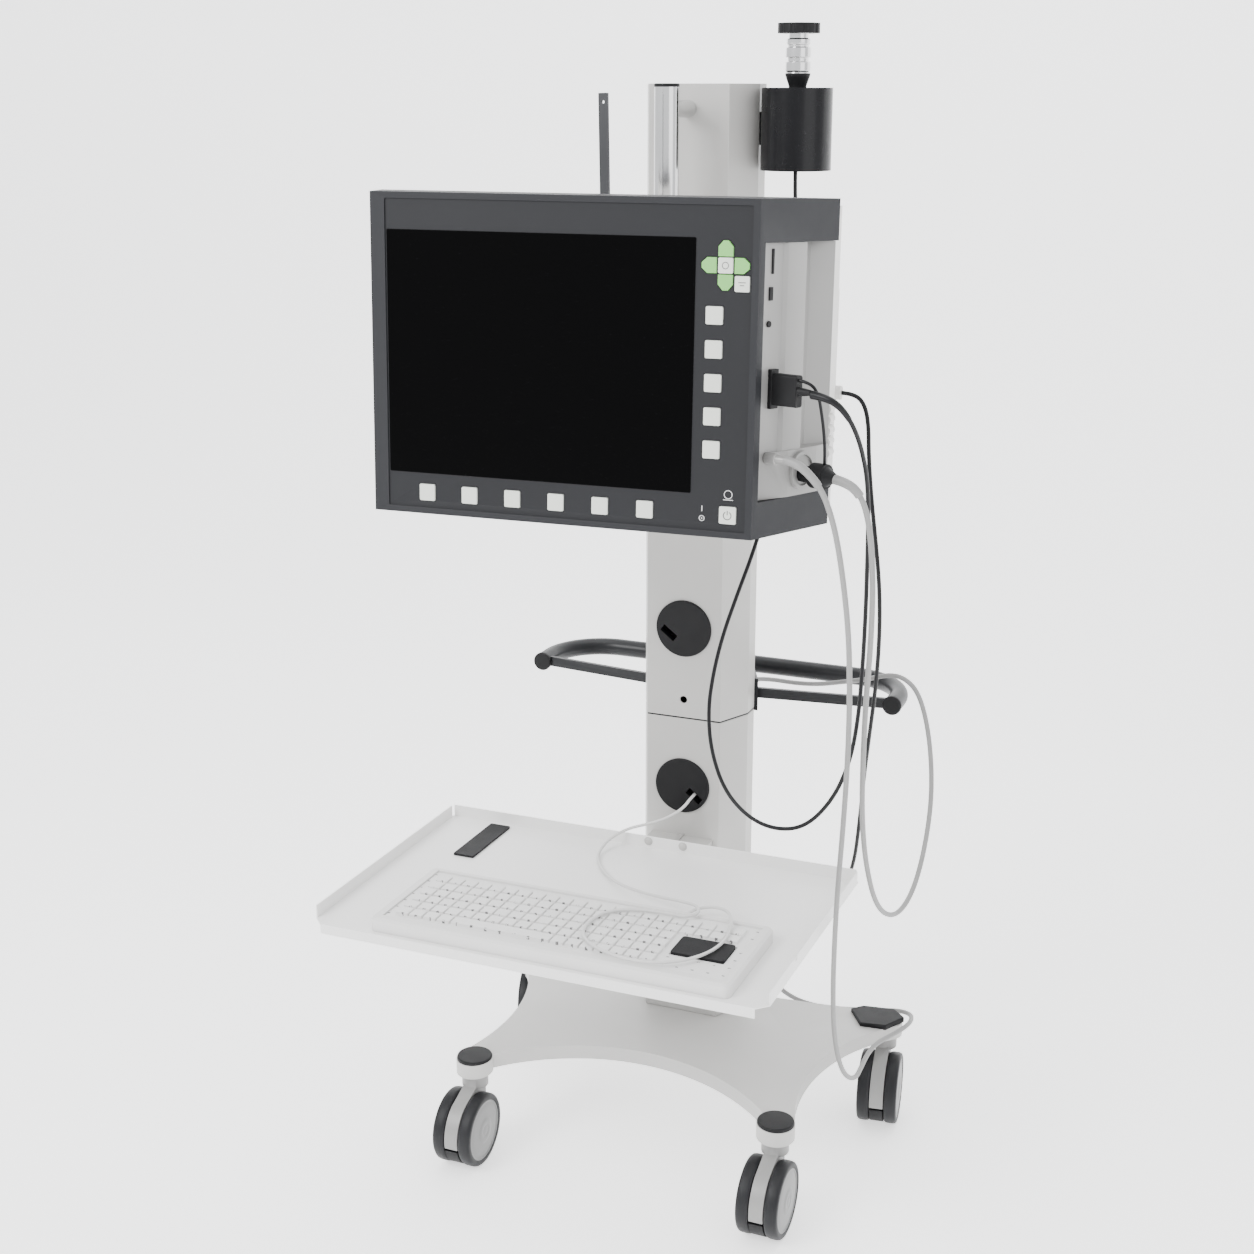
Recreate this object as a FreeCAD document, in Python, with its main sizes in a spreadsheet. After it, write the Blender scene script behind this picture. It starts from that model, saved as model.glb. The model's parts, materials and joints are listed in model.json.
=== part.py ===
import FreeCAD, Part
import math
import os

import Sketcher
from FreeCAD import Placement, Rotation, Vector

# Medical imaging cart: a four-caster base carries a column with a keyboard tray,
# a push handle, a cup for the camera head and a chrome rail that holds an
# all-in-one screen unit with front keys and side sockets.
# Millimetres, +Z up, front towards -Y, +X to the right. Heights start at the floor.
# The column's front face is the plane Y = 0 and its middle is X = 0 while the
# pieces are built; the whole cart is then moved so that the origin is at the
# bottom centre of its box without the cords.

DRIVING_SIZES = {
    "wheel_radius": 50.0, "tyre_width": 18.0, "wheel_gap": 20.0, "axle_radius": 4.0,
    "running_gap": 0.05, "free_gap": 0.3,
    "wheel_trail": 28.0, "stem_radius": 6.0, "collar_radius": 18.0, "caster_height": 120.0,
    "front_stem_x": 216.0, "front_stem_y": -222.5, "rear_stem_x": 274.0, "rear_stem_y": 98.0,
    "boss_radius": 25.0, "base_apex": 147.0, "base_skirt": 20.0, "base_sheet": 4.0,
    "dome_radius": 7350.0, "dome_y": -20.0, "cap_radius": 24.0,
    "column_half_front": 53.0, "column_half_side": 75.5, "column_flare_depth": 50.5,
    "column_depth": 127.0, "column_wall": 3.0, "column_top": 1418.0,
    "seam_height": 588.0, "seam_gasket": 2.0,
    "grommet_radius": 39.0, "upper_grommet_z": 716.0, "lower_grommet_z": 491.0,
    "tray_left": -325.6, "tray_right": 270.0, "tray_rear": -61.5, "tray_front": -440.5,
    "tray_sheet": 2.0, "tray_floor_z": 419.0, "tray_rim": 17.0, "tray_lip": 13.0,
    "keyboard_left": -245.0, "keyboard_width": 468.0, "keyboard_front": -434.0,
    "keyboard_depth": 166.0, "keyboard_thickness": 18.0, "key_pitch": 19.05,
    "handle_half_width": 262.0, "handle_front": 110.0, "handle_depth": 106.0,
    "handle_bend": 80.0, "handle_z": 607.0, "handle_tube_radius": 12.5,
    "rail_radius": 15.0, "rail_y": -75.0, "rail_bottom": 985.0,
    "cup_radius": 44.0, "cup_wall": 2.5, "cup_bottom": 1314.0, "cup_height": 99.0,
    "cup_x": 125.0, "cup_y": 48.0, "knob_radius": 26.0,
    "unit_width": 449.0, "unit_height": 357.0, "unit_body_depth": 130.0, "unit_flare": 52.0,
    "unit_x": 0.6, "unit_y": -398.0, "unit_z": 1125.0, "unit_yaw": 2.75, "unit_tilt": 2.4,
    "panel_recess": 1.5, "rear_housing_depth": 48.0, "rear_box_depth": 32.0,
    "key_size": 19.0, "arrow_size": 16.5, "key_depth": 5.0, "key_rise": 1.6,
    "pin_radius": 6.0, "pin_y": -142.0,
    "handset_cable": 5.0, "rear_cable": 5.0, "grey_cable": 6.5, "keyboard_cable": 4.0,
    "tether": 3.5,
}

doc = FreeCAD.newDocument("imaging_cart")
sheet = doc.addObject("Spreadsheet::Sheet", "Sizes")
for row, (alias, value) in enumerate(DRIVING_SIZES.items(), start=1):
    sheet.set("A%d" % row, alias)
    sheet.set("B%d" % row, str(value))
    sheet.setAlias("B%d" % row, alias)
doc.recompute()

nodes = []


def size(alias):
    return float(sheet.get(alias))


def bind(item, **expressions):
    for prop, text in expressions.items():
        item.setExpression(prop, text)


def keep(item, label):
    """Mark a document object as a sub-part that gets its own file."""
    item.Label = label
    nodes.append(item)
    return item


def mirrored(points):
    """Points of a right-hand half outline, front to back, closed by their mirror images."""
    return points + [(-x, y) for x, y in reversed(points)]


# ---------------------------------------------------------------- sketch helpers

def lines(points):
    ends = points[1:] + points[:1]
    return [Part.LineSegment(Vector(*a), Vector(*b)) for a, b in zip(points, ends)]


def arc(start, middle, end):
    return Part.Arc(Vector(*start), Vector(*middle), Vector(*end))


def rounded(x0, y0, x1, y1, radius):
    """Rectangle outline with round corners, as sketch geometry."""
    k = radius * (1 - math.sqrt(0.5))
    return [
        Part.LineSegment(Vector(x0 + radius, y0), Vector(x1 - radius, y0)),
        arc((x1 - radius, y0), (x1 - k, y0 + k), (x1, y0 + radius)),
        Part.LineSegment(Vector(x1, y0 + radius), Vector(x1, y1 - radius)),
        arc((x1, y1 - radius), (x1 - k, y1 - k), (x1 - radius, y1)),
        Part.LineSegment(Vector(x1 - radius, y1), Vector(x0 + radius, y1)),
        arc((x0 + radius, y1), (x0 + k, y1 - k), (x0, y1 - radius)),
        Part.LineSegment(Vector(x0, y1 - radius), Vector(x0, y0 + radius)),
        arc((x0, y0 + radius), (x0 + k, y0 + k), (x0 + radius, y0)),
    ]


def circle(x, y, radius):
    return [Part.Circle(Vector(x, y), Vector(0, 0, 1), radius)]


def new_body(name):
    return doc.addObject("PartDesign::Body", name)


def add_sketch(body, role, loops, offset=0.0):
    """Sketch on one of the body's own origin planes."""
    sketch = body.newObject("Sketcher::SketchObject", body.Name + "_sketch")
    plane = next(item for item in body.Origin.OriginFeatures if item.Role == role)
    sketch.AttachmentSupport = [(plane, "")]
    sketch.MapMode = "FlatFace"
    sketch.AttachmentOffset = Placement(Vector(0, 0, offset), Rotation())
    for loop in loops:
        first = sketch.GeometryCount
        sketch.addGeometry(loop, False)
        if len(loop) > 1:
            join_ends(sketch, first, len(loop))
    return sketch


def join_ends(sketch, first, count):
    """Make each piece of a loop share its end point with the next piece."""
    for step in range(count):
        here = first + step
        following = first + (step + 1) % count
        pairs = [(a, b) for a in (1, 2) for b in (1, 2)]
        nearest = min(pairs, key=lambda pair: sketch.getPoint(here, pair[0]).distanceToPoint(
            sketch.getPoint(following, pair[1])))
        sketch.addConstraint(
            Sketcher.Constraint("Coincident", here, nearest[0], following, nearest[1]))


def add_pad(body, role, loops, length, offset=0.0, backwards=False):
    sketch = add_sketch(body, role, loops, offset)
    pad = body.newObject("PartDesign::Pad", body.Name + "_solid")
    pad.Profile = sketch
    bind(pad, Length=length)
    pad.Reversed = backwards
    return pad


def add_pocket(body, role, loops, length, offset=0.0, backwards=False):
    """Pocket whose removed volume is checked, because a wrong direction cuts nothing."""
    doc.recompute()
    before = body.Shape.Volume
    sketch = add_sketch(body, role, loops, offset)
    pocket = body.newObject("PartDesign::Pocket", body.Name + "_pocket")
    pocket.Profile = sketch
    bind(pocket, Length=length)
    pocket.Reversed = backwards
    doc.recompute()
    if body.Shape.Volume > before - 1.0:
        raise RuntimeError("pocket cut nothing in " + body.Name)
    return pocket


def add_revolution(body, role, loops, axis_role, offset=0.0):
    sketch = add_sketch(body, role, loops, offset)
    turn = body.newObject("PartDesign::Revolution", body.Name + "_turn")
    turn.Profile = sketch
    axis = next(item for item in body.Origin.OriginFeatures if item.Role == axis_role)
    turn.ReferenceAxis = (axis, [""])
    turn.Angle = 360
    return turn


def bevel(body, feature, edge_names, width):
    """Chamfer on the named edges of the feature that was made last."""
    edges = body.newObject("PartDesign::Chamfer", body.Name + "_bevel")
    edges.Base = (feature, edge_names)
    edges.Size = width
    return edges


def edges_at(feature, test):
    doc.recompute()
    found = []
    for index, edge in enumerate(feature.Shape.Edges, start=1):
        if test(edge.CenterOfMass, edge):
            found.append("Edge%d" % index)
    return found


def pad_node(label, role, loops, length, offset=0.0, backwards=False, place=None):
    body = new_body(label)
    add_pad(body, role, loops, length, offset, backwards)
    if place:
        body.Placement = place
    return keep(body, label)


def solid_node(label, shape, place=None):
    item = doc.addObject("Part::Feature", label)
    item.Shape = shape
    if place:
        item.Placement = place
    return keep(item, label)


def fused(name, parts):
    item = doc.addObject("Part::MultiFuse", name)
    item.Shapes = parts
    return item


def box(name, x, y, z):
    """Part::Box from its three (low, high) spans."""
    item = doc.addObject("Part::Box", name)
    item.Length = x[1] - x[0]
    item.Width = y[1] - y[0]
    item.Height = z[1] - z[0]
    item.Placement.Base = Vector(x[0], y[0], z[0])
    return item


def rod(name, start, direction, radius, length):
    """Part::Cylinder from start along direction; radius and length are expressions."""
    item = doc.addObject("Part::Cylinder", name)
    bind(item, Radius=radius, Height=length)
    item.Placement = Placement(Vector(*start), Rotation(Vector(0, 0, 1), Vector(*direction)))
    return item


def tube_path(points):
    """Straight runs joined by tangent arcs as large as the two runs allow."""
    points = [Vector(*point) for point in points]
    edges = []
    radii = []
    here = points[0]
    for before, corner, after in zip(points, points[1:], points[2:]):
        inward = (before - corner).normalize()
        outward = (after - corner).normalize()
        half_turn = (math.pi - inward.getAngle(outward)) / 2
        reach = 0.45 * min((corner - before).Length, (after - corner).Length)
        radius = reach / math.tan(half_turn)
        centre = corner + (inward + outward).normalize() * (radius / math.cos(half_turn))
        begin = corner + inward * reach
        finish = corner + outward * reach
        middle = centre + (corner - centre).normalize() * radius
        edges.append(Part.LineSegment(here, begin).toShape())
        edges.append(Part.Arc(begin, middle, finish).toShape())
        radii.append(radius)
        here = finish
    edges.append(Part.LineSegment(here, points[-1]).toShape())
    return Part.Wire(edges), radii


def tube(points, radius):
    path, radii = tube_path(points)
    start = path.Vertexes[0].Point
    tangent = path.Edges[0].tangentAt(path.Edges[0].FirstParameter)
    ring = Part.Wire(Part.makeCircle(radius, start, tangent))
    shape = path.makePipeShell([ring], True, True)
    return shape, path.Length, radii


def report_cord(label, diameter, length, volume, radii):
    expected = math.pi * diameter ** 2 / 4 * length
    print("%-16s length %7.1f mm  smallest arc %5.1f mm (%4.1f diameters)  volume ratio %.4f"
          % (label, length, min(radii), min(radii) / diameter, volume / expected))


# ---------------------------------------------------------------- base and casters

def base_outline(inset=0.0):
    """Four-armed plate outline: round arm ends joined by arcs that bow inwards."""
    fx = size("front_stem_x")
    fy = size("front_stem_y")
    rx = size("rear_stem_x")
    ry = size("rear_stem_y")
    tip = size("boss_radius") - inset
    front_in = (fx - 0.85 * tip, fy + 0.53 * tip)
    front_out = (fx + 0.87 * tip, fy + 0.5 * tip)
    rear_out = (rx + 0.6 * tip, ry - 0.8 * tip)
    rear_in = (rx - 0.6 * tip, ry + 0.8 * tip)
    front_bow = (0.0, -130.0 + inset)
    rear_bow = (0.0, 85.0 - inset)
    waist = (219.7 - inset, -114.0)

    def left(point):
        return (-point[0], point[1])

    return [
        arc(left(front_in), front_bow, front_in),
        arc(front_in, (fx, fy - tip), front_out),
        arc(front_out, waist, rear_out),
        arc(rear_out, (rx + 0.95 * tip, ry + 0.31 * tip), rear_in),
        arc(rear_in, rear_bow, left(rear_in)),
        arc(left(rear_in), (-rx - 0.95 * tip, ry + 0.31 * tip), left(rear_out)),
        arc(left(rear_out), left(waist), left(front_out)),
        arc(left(front_out), (-fx, fy - tip), left(front_in)),
    ]


def stem_places():
    fx = size("front_stem_x")
    fy = size("front_stem_y")
    rx = size("rear_stem_x")
    ry = size("rear_stem_y")
    return {"front_left": (-fx, fy), "front_right": (fx, fy),
            "rear_left": (-rx, ry), "rear_right": (rx, ry)}


def dome(drop):
    """Ball whose surface is the plate's gently domed top, lowered by drop."""
    radius = size("dome_radius")
    centre = Vector(0, size("dome_y"), size("base_apex") - radius)
    return Part.makeSphere(radius - drop, centre)


def cap_solids():
    """Black covers over the caster stems: discs in front, pointed pads at the rear."""
    shapes = []
    for name, (x, y) in stem_places().items():
        side = math.copysign(1, x)
        if name.startswith("front"):
            disc = Part.makeCylinder(size("cap_radius"), 6.0, Vector(x, y, 139.0))
            shapes.append(disc.makeFillet(2.0, top_edges(disc, 145.0)))
            continue
        outline = [(-50, 0), (-36, 15), (8, 22), (27, 3), (9, -31), (-26, -37)]
        points = [Vector(x + side * across, y + along, 140.0) for across, along in outline]
        pad = Part.Face(Part.makePolygon(points + points[:1])).extrude(Vector(0, 0, 8.0))
        shapes.append(pad.makeFillet(1.6, top_edges(pad, 148.0)))
    return shapes


def top_edges(shape, z):
    return [edge for edge in shape.Edges if edge.BoundBox.ZMin > z - 0.01]


def flat_face(loop):
    return Part.Face(Part.Wire([piece.toShape() for piece in loop]))


def make_base():
    """Domed sheet plate with a turned-down skirt, a boss at each stem and a column seat."""
    floor = size("caster_height") + size("free_gap")
    rise = Vector(0, 0, 60)
    plate = new_body("base_blank")
    add_pad(plate, "XY_Plane", [base_outline()], "60", offset=100.0)
    doc.recompute()
    inner = flat_face(base_outline(size("base_sheet")))
    inner.translate(Vector(0, 0, 100))
    hollow = inner.extrude(rise).common(dome(size("base_sheet")))
    shape = plate.Shape.common(dome(0)).cut(dome(size("base_skirt"))).cut(hollow)
    doc.removeObject(plate.Name)
    for x, y in stem_places().values():
        boss = Part.makeCylinder(size("boss_radius") - 2.5, 18.0, Vector(x, y, floor))
        shape = shape.fuse(boss)
    seat = Part.makeBox(144, 60, 12, Vector(-72, 71, 131)).common(dome(1.0))
    shape = shape.fuse(seat)
    for x, y in stem_places().values():
        radius = size("stem_radius") + size("running_gap")
        shape = shape.cut(Part.makeCylinder(radius, 16.5, Vector(x, y, floor - 10)))
    for cap in cap_solids():
        shape = shape.cut(cap)
    solid_node("base_plate", shape.removeSplitter())
    solid_node("caster_caps", Part.makeCompound(cap_solids()))


def wheel_pair(label, place):
    """Two wheels on one axle: tread, dished hub face and a small centre boss."""
    radius = size("wheel_radius")
    inner = size("wheel_gap") / 2
    outer = inner + size("tyre_width")
    bore = size("axle_radius") + size("running_gap")
    half = [(inner, bore), (inner, radius - 3), (inner + 3, radius), (outer - 4, radius),
            (outer, radius - 4), (outer, radius - 9), (outer - 2, radius - 10),
            (outer + 1, 16.0), (outer + 1, bore)]
    pair = []
    for side in (-1, 1):
        face = flat_face(lines([(side * x, r) for x, r in half]))
        pair.append(face.revolve(Vector(0, 0, 0), Vector(1, 0, 0), 360))
    solid_node(label, Part.makeCompound(pair), place)


def housing_outline():
    """Side outline (Y, Z) of the caster housing about the stem, between the wheels."""
    trail = -size("wheel_trail")
    axle_z = size("wheel_radius")
    reach = size("wheel_radius") - 2.0
    start = (trail - reach * math.cos(math.radians(12)), axle_z - reach * math.sin(math.radians(12)))
    crown = (trail - reach * math.cos(math.radians(60)), axle_z + reach * math.sin(math.radians(60)))
    return [
        arc(start, (trail - reach * math.cos(math.radians(25)),
                    axle_z + reach * math.sin(math.radians(25))), crown),
        Part.LineSegment(Vector(*crown), Vector(-14.0, 106.0)),
        Part.LineSegment(Vector(-14.0, 106.0), Vector(13.0, 106.0)),
        Part.LineSegment(Vector(13.0, 106.0), Vector(13.0, 70.0)),
        Part.LineSegment(Vector(13.0, 70.0), Vector(4.0, 34.0)),
        Part.LineSegment(Vector(4.0, 34.0), Vector(-30.0, 24.0)),
        Part.LineSegment(Vector(-30.0, 24.0), Vector(-44.0, 39.0)),
        Part.LineSegment(Vector(-44.0, 39.0), Vector(*start)),
    ]


def make_caster(name, x, y, turn):
    """Twin-wheel swivel caster: housing with its stem and axle, wheels and brake pedal."""
    place = Placement(Vector(x, y, 0), Rotation(Vector(0, 0, 1), turn))
    trail = -size("wheel_trail")
    axle_z = size("wheel_radius")
    core = new_body(name + "_core")
    half_width = size("wheel_gap") / 2 - 0.5
    add_pad(core, "YZ_Plane", [housing_outline()], "Sizes.wheel_gap - 1", offset=-half_width)
    collar = rod(name + "_collar", (0, 0, 101), (0, 0, 1), "Sizes.collar_radius",
                 "Sizes.caster_height - 101")
    stem = rod(name + "_stem", (0, 0, 100), (0, 0, 1), "Sizes.stem_radius",
               "Sizes.caster_height - 94")
    shaft = rod(name + "_shaft", (-28, trail, axle_z), (1, 0, 0), "Sizes.axle_radius", "56")
    housing = fused("housing_" + name, [core, collar, stem, shaft])
    housing.Placement = place
    keep(housing, "caster_" + name + "_housing")
    wheel_pair("caster_" + name + "_wheels",
               place.multiply(Placement(Vector(0, trail, axle_z), Rotation())))
    make_pedal(name, place, half_width)


def make_pedal(name, place, half_width):
    """Brake pedal low at the front, between the wheels, pivoting on the housing."""
    trail = -size("wheel_trail")
    axle_z = size("wheel_radius")
    reach = size("wheel_radius") - 1.0
    low = (trail - reach * math.cos(math.radians(56)), axle_z - reach * math.sin(math.radians(56)))
    high = (trail - reach * math.cos(math.radians(15)), axle_z - reach * math.sin(math.radians(15)))
    middle = (trail - reach * math.cos(math.radians(35)), axle_z - reach * math.sin(math.radians(35)))
    outline = [
        arc(high, middle, low),
        Part.LineSegment(Vector(*low), Vector(-34.0, 16.0)),
        Part.LineSegment(Vector(-34.0, 16.0), Vector(-46.5, 36.0)),
        Part.LineSegment(Vector(-46.5, 36.0), Vector(*high)),
    ]
    pad_node("caster_" + name + "_pedal", "YZ_Plane", [outline], "Sizes.wheel_gap - 1",
             offset=-half_width, place=place)


# ---------------------------------------------------------------- column

def column_section(inset=0.0):
    half_front = size("column_half_front") - inset * 0.8
    half_side = size("column_half_side") - inset
    flare = size("column_flare_depth")
    depth = size("column_depth")
    return lines(mirrored([(half_front, inset), (half_side, flare),
                           (half_side, depth - flare), (half_front, depth - inset)]))


def column_piece(label, low, length):
    body = new_body(label)
    add_pad(body, "XY_Plane", [column_section(), column_section(size("column_wall"))],
            length, offset=low)
    return body


def bore_front(body, z, radius):
    """Round hole through the column's front wall only."""
    add_pocket(body, "XZ_Plane", [circle(0, z, radius)], "Sizes.column_wall + 2",
               offset=1.0 - size("column_wall") - 2.0, backwards=True)


def make_column():
    seam = size("seam_height")
    low = 130.0
    lower = column_piece("column_foot", low, "Sizes.seam_height - %d" % low)
    bore_front(lower, size("lower_grommet_z"), size("grommet_radius") - 4)
    doc.recompute()
    solid_node("column_lower", lower.Shape.cut(dome(0.0)).removeSplitter())
    doc.removeObject(lower.Name)
    upper = new_body("column_upper")
    start = seam + size("seam_gasket")
    add_pad(upper, "XY_Plane", [column_section()],
            "Sizes.column_top - Sizes.seam_height - Sizes.seam_gasket", offset=start)
    add_pocket(upper, "XY_Plane", [column_section(size("column_wall"))],
               "Sizes.column_top - Sizes.seam_height - Sizes.seam_gasket - Sizes.column_wall",
               offset=start, backwards=True)
    bore_front(upper, size("upper_grommet_z"), size("grommet_radius") - 4)
    bore_front(upper, seam + 27.0, 5.0)
    keep(upper, "column_upper")
    ring = flat_face(column_section(0.8)).cut(flat_face(column_section(size("column_wall"))))
    gasket = ring.extrude(Vector(0, 0, size("seam_gasket")))
    gasket.translate(Vector(0, 0, seam))
    discs = [grommet(size("upper_grommet_z"), 200), grommet(size("lower_grommet_z"), 325)]
    solid_node("column_trim", Part.makeCompound([gasket] + discs))


def grommet(z, slot_angle):
    """Cable grommet disc proud of the front face, with a slot for a cable."""
    radius = size("grommet_radius")
    face = Part.makeCylinder(radius, 3.5, Vector(0, 0, z), Vector(0, -1, 0))
    face = face.makeFillet(1.5, [edge for edge in face.Edges if edge.BoundBox.YMax < -3.4])
    neck = Part.makeCylinder(radius - 4.2, 8, Vector(0, 0, z), Vector(0, 1, 0))
    slot = Part.makeBox(24, 20, 10, Vector(-12, -6, -5))
    angle = math.radians(slot_angle)
    centre = Vector(22 * math.cos(angle), 0, z + 22 * math.sin(angle))
    slot.Placement = Placement(centre, Rotation(Vector(0, 1, 0), 38)).multiply(slot.Placement)
    return face.fuse(neck).removeSplitter().cut(slot)


# ---------------------------------------------------------------- tray and keyboard

def make_tray():
    left = size("tray_left")
    right = size("tray_right")
    rear = size("tray_rear")
    front = size("tray_front")
    gauge = size("tray_sheet")
    floor = size("tray_floor_z")
    corner = 14.0
    body = new_body("tray")
    outline = [(left + corner, front), (right - corner, front), (right, front + corner),
               (right, rear), (left, rear), (left, front + corner)]
    add_pad(body, "XY_Plane", [lines(outline)], "Sizes.tray_sheet", offset=floor - gauge)
    rims = [[(left + 3, rear), (right - 3, rear), (right - 3, rear - gauge), (left + 3, rear - gauge)],
            [(left, rear - 6), (left + gauge, rear - 6), (left + gauge, front + corner),
             (left, front + corner)],
            [(right, rear - 6), (right - gauge, rear - 6), (right - gauge, front + corner),
             (right, front + corner)]]
    for rim in rims:
        add_pad(body, "XY_Plane", [lines(rim)], "Sizes.tray_rim", offset=floor - 0.5)
    lip = [(left + corner, front), (right - corner, front), (right - corner, front + gauge),
           (left + corner, front + gauge)]
    add_pad(body, "XY_Plane", [lines(lip)], "Sizes.tray_lip", offset=floor - 0.5, backwards=True)
    notch = [(front + corner + 92, floor + 11.0), (front + corner + 100, floor + 11.0),
             (front + corner + 100, floor + 30.0), (front + corner + 92, floor + 30.0)]
    add_pocket(body, "YZ_Plane", [lines(notch)], "12", offset=right + 4)
    keep(body, "tray")


def make_tray_mount():
    """Arm from the column under the tray, an upright flange and two dome-headed screws."""
    rear = size("tray_rear")
    under = size("tray_floor_z") - size("tray_sheet")
    arm = Part.makeBox(90, 190 - rear - 0.2, 26, Vector(-45, rear - 190, under - 26.1))
    gap = Part.makeBox(82, 190 - rear - 6, 24, Vector(-41, rear - 191, under - 30))
    flange = Part.makeBox(76, 3, 27, Vector(-38, rear + 0.1, under - 10))
    web = Part.makeBox(6, -rear - 0.3, 12, Vector(-3, rear + 0.1, under - 10))
    frame = arm.cut(gap).multiFuse([flange, web]).removeSplitter()
    inside = rear - size("tray_sheet")
    heads = []
    for x in (-25.0, 25.0):
        ball = Part.makeSphere(7.0, Vector(x, inside + 3.2, under + 11.5))
        heads.append(ball.cut(Part.makeBox(20, 20, 20, Vector(x - 10, inside - 0.1, under))))
    solid_node("tray_mount", Part.makeCompound([frame] + heads))


def make_keyboard():
    left = size("keyboard_left")
    front = size("keyboard_front")
    floor = size("tray_floor_z") + 0.2
    width = size("keyboard_width")
    depth = size("keyboard_depth")
    top = floor + size("keyboard_thickness")
    case = new_body("keyboard_case")
    solid = add_pad(case, "XY_Plane", [rounded(left, front, left + width, front + depth, 9.0)],
                    "Sizes.keyboard_thickness", offset=floor)
    rim = edges_at(solid, lambda centre, edge: edge.BoundBox.ZMin > top - 0.01)
    bevel(case, solid, rim, 3.0)
    well = [rounded(left + 12, front + 12, left + width - 12, front + depth - 9, 0.2)]
    add_pocket(case, "XY_Plane", well, "4", offset=top)
    keep(case, "keyboard_case")
    solid_node("keyboard_keys", key_mat(left, front, top))
    pad_x = 130.0
    pad_y = -381.0
    pad_node("keyboard_touchpad", "XY_Plane", [rounded(pad_x, pad_y, pad_x + 67, pad_y + 46, 4.0)],
             "4.5", offset=top - 3.8)
    strip = [rounded(-258.5, -189.0, -228.5, -75.0, 2.0)]
    pad_node("accessory_pad", "XY_Plane", strip, "3", offset=floor)


def key_mat(left, front, top):
    """One wipe-clean key mat: a thin sheet with a grid of raised keys and a space bar."""
    pitch = size("key_pitch")
    mat = Part.makeBox(size("keyboard_width") - 24.6, size("keyboard_depth") - 21.6, 1.5,
                       Vector(left + 12.3, front + 12.3, top - 3.9))
    touch = Part.makeBox(69, 48, 6, Vector(129, -382, top - 4))
    mat = mat.cut(touch)
    caps = []
    for row in range(6):
        y = front + 24.0 + row * 20.5
        for column in range(22):
            x = left + 24.0 + column * pitch
            over_touchpad = x > 112 and y < -330
            if over_touchpad or (row == 0 and 4 <= column <= 10):
                continue
            caps.append(Part.makeBox(16.0, 16.5, 4.2, Vector(x, y, top - 3.0)))
    bar = Part.makeBox(7 * pitch - 3.0, 16.5, 4.2, Vector(left + 24.0 + 4 * pitch, front + 24.0, top - 3.0))
    return mat.multiFuse(caps + [bar]).removeSplitter()


# ---------------------------------------------------------------- push handle

def make_handle():
    """Push bow round the back of the column with flat struts and a band on the column."""
    half = size("handle_half_width")
    front = size("handle_front")
    rear = front + size("handle_depth")
    z = size("handle_z")
    radius = size("handle_tube_radius")
    bend = size("handle_bend")
    k = bend * (1 - math.sqrt(0.5))
    path = Part.Wire([
        Part.LineSegment(Vector(-half, front, z), Vector(-half, rear - bend, z)).toShape(),
        Part.Arc(Vector(-half, rear - bend, z), Vector(-half + k, rear - k, z),
                 Vector(-half + bend, rear, z)).toShape(),
        Part.LineSegment(Vector(-half + bend, rear, z), Vector(half - bend, rear, z)).toShape(),
        Part.Arc(Vector(half - bend, rear, z), Vector(half - k, rear - k, z),
                 Vector(half, rear - bend, z)).toShape(),
        Part.LineSegment(Vector(half, rear - bend, z), Vector(half, front, z)).toShape(),
    ])
    ring = Part.Wire(Part.makeCircle(radius, Vector(-half, front, z), Vector(0, 1, 0)))
    bow = path.makePipeShell([ring], True, True)
    caps = []
    for x in (-half, half):
        cap = Part.makeCylinder(radius + 0.8, 5.0, Vector(x, front - 5.0, z), Vector(0, 1, 0))
        rim = [edge for edge in cap.Edges if edge.BoundBox.YMax < front - 4.9]
        caps.append(cap.makeFillet(1.8, rim))
    solid_node("handle_caps", Part.makeCompound(caps))
    side = size("column_half_side") + 4.5
    back = size("column_depth") + 4.5
    chest = size("column_half_front") + 3.0
    band = polygon_slab([(side, 79), (chest, back), (-chest, back), (-side, 79)], z - 22, 46)
    struts = [polygon_slab([(sign * 62, 88), (sign * (half - 4), 113), (sign * (half - 4), 119),
                            (sign * 62, 94)], z - 7, 14) for sign in (-1, 1)]
    column = flat_face(column_section()).extrude(Vector(0, 0, 200))
    column.translate(Vector(0, 0, z - 100))
    frame = band.multiFuse(struts).cut(column)
    solid_node("push_handle", bow.fuse(frame).removeSplitter())


def polygon_slab(points, low, height):
    corners = [Vector(x, y, low) for x, y in points]
    return Part.Face(Part.makePolygon(corners + corners[:1])).extrude(Vector(0, 0, height))


# ---------------------------------------------------------------- rail, screen mount, cup

def make_rail():
    """Chrome tube held in front of the column by two round standoffs, with a black cap."""
    y = size("rail_y")
    low = size("rail_bottom")
    radius = size("rail_radius")
    length = size("column_top") - low - 4
    outer = Part.makeCylinder(radius, length, Vector(0, y, low))
    bore = Part.makeCylinder(radius - 2, length, Vector(0, y, low))
    posts = []
    for z in (low + 30, size("column_top") - 30):
        post = Part.makeCylinder(10.5, -y - 0.1, Vector(0, y, z), Vector(0, 1, 0))
        posts.append(post.cut(outer))
    cap = Part.makeCylinder(radius + 0.4, 4.0, Vector(0, y, size("column_top") - 4))
    cap = cap.makeFillet(1.5, top_edges(cap, size("column_top")))
    rail = outer.cut(bore).multiFuse(posts)
    solid_node("mount_rail", Part.makeCompound([rail, cap]))


def unit_place():
    return Placement(Vector(size("unit_x"), size("unit_y"), size("unit_z")),
                     Rotation(Vector(0, 0, 1), size("unit_yaw")).multiply(
                         Rotation(Vector(1, 0, 0), -size("unit_tilt"))))


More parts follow.
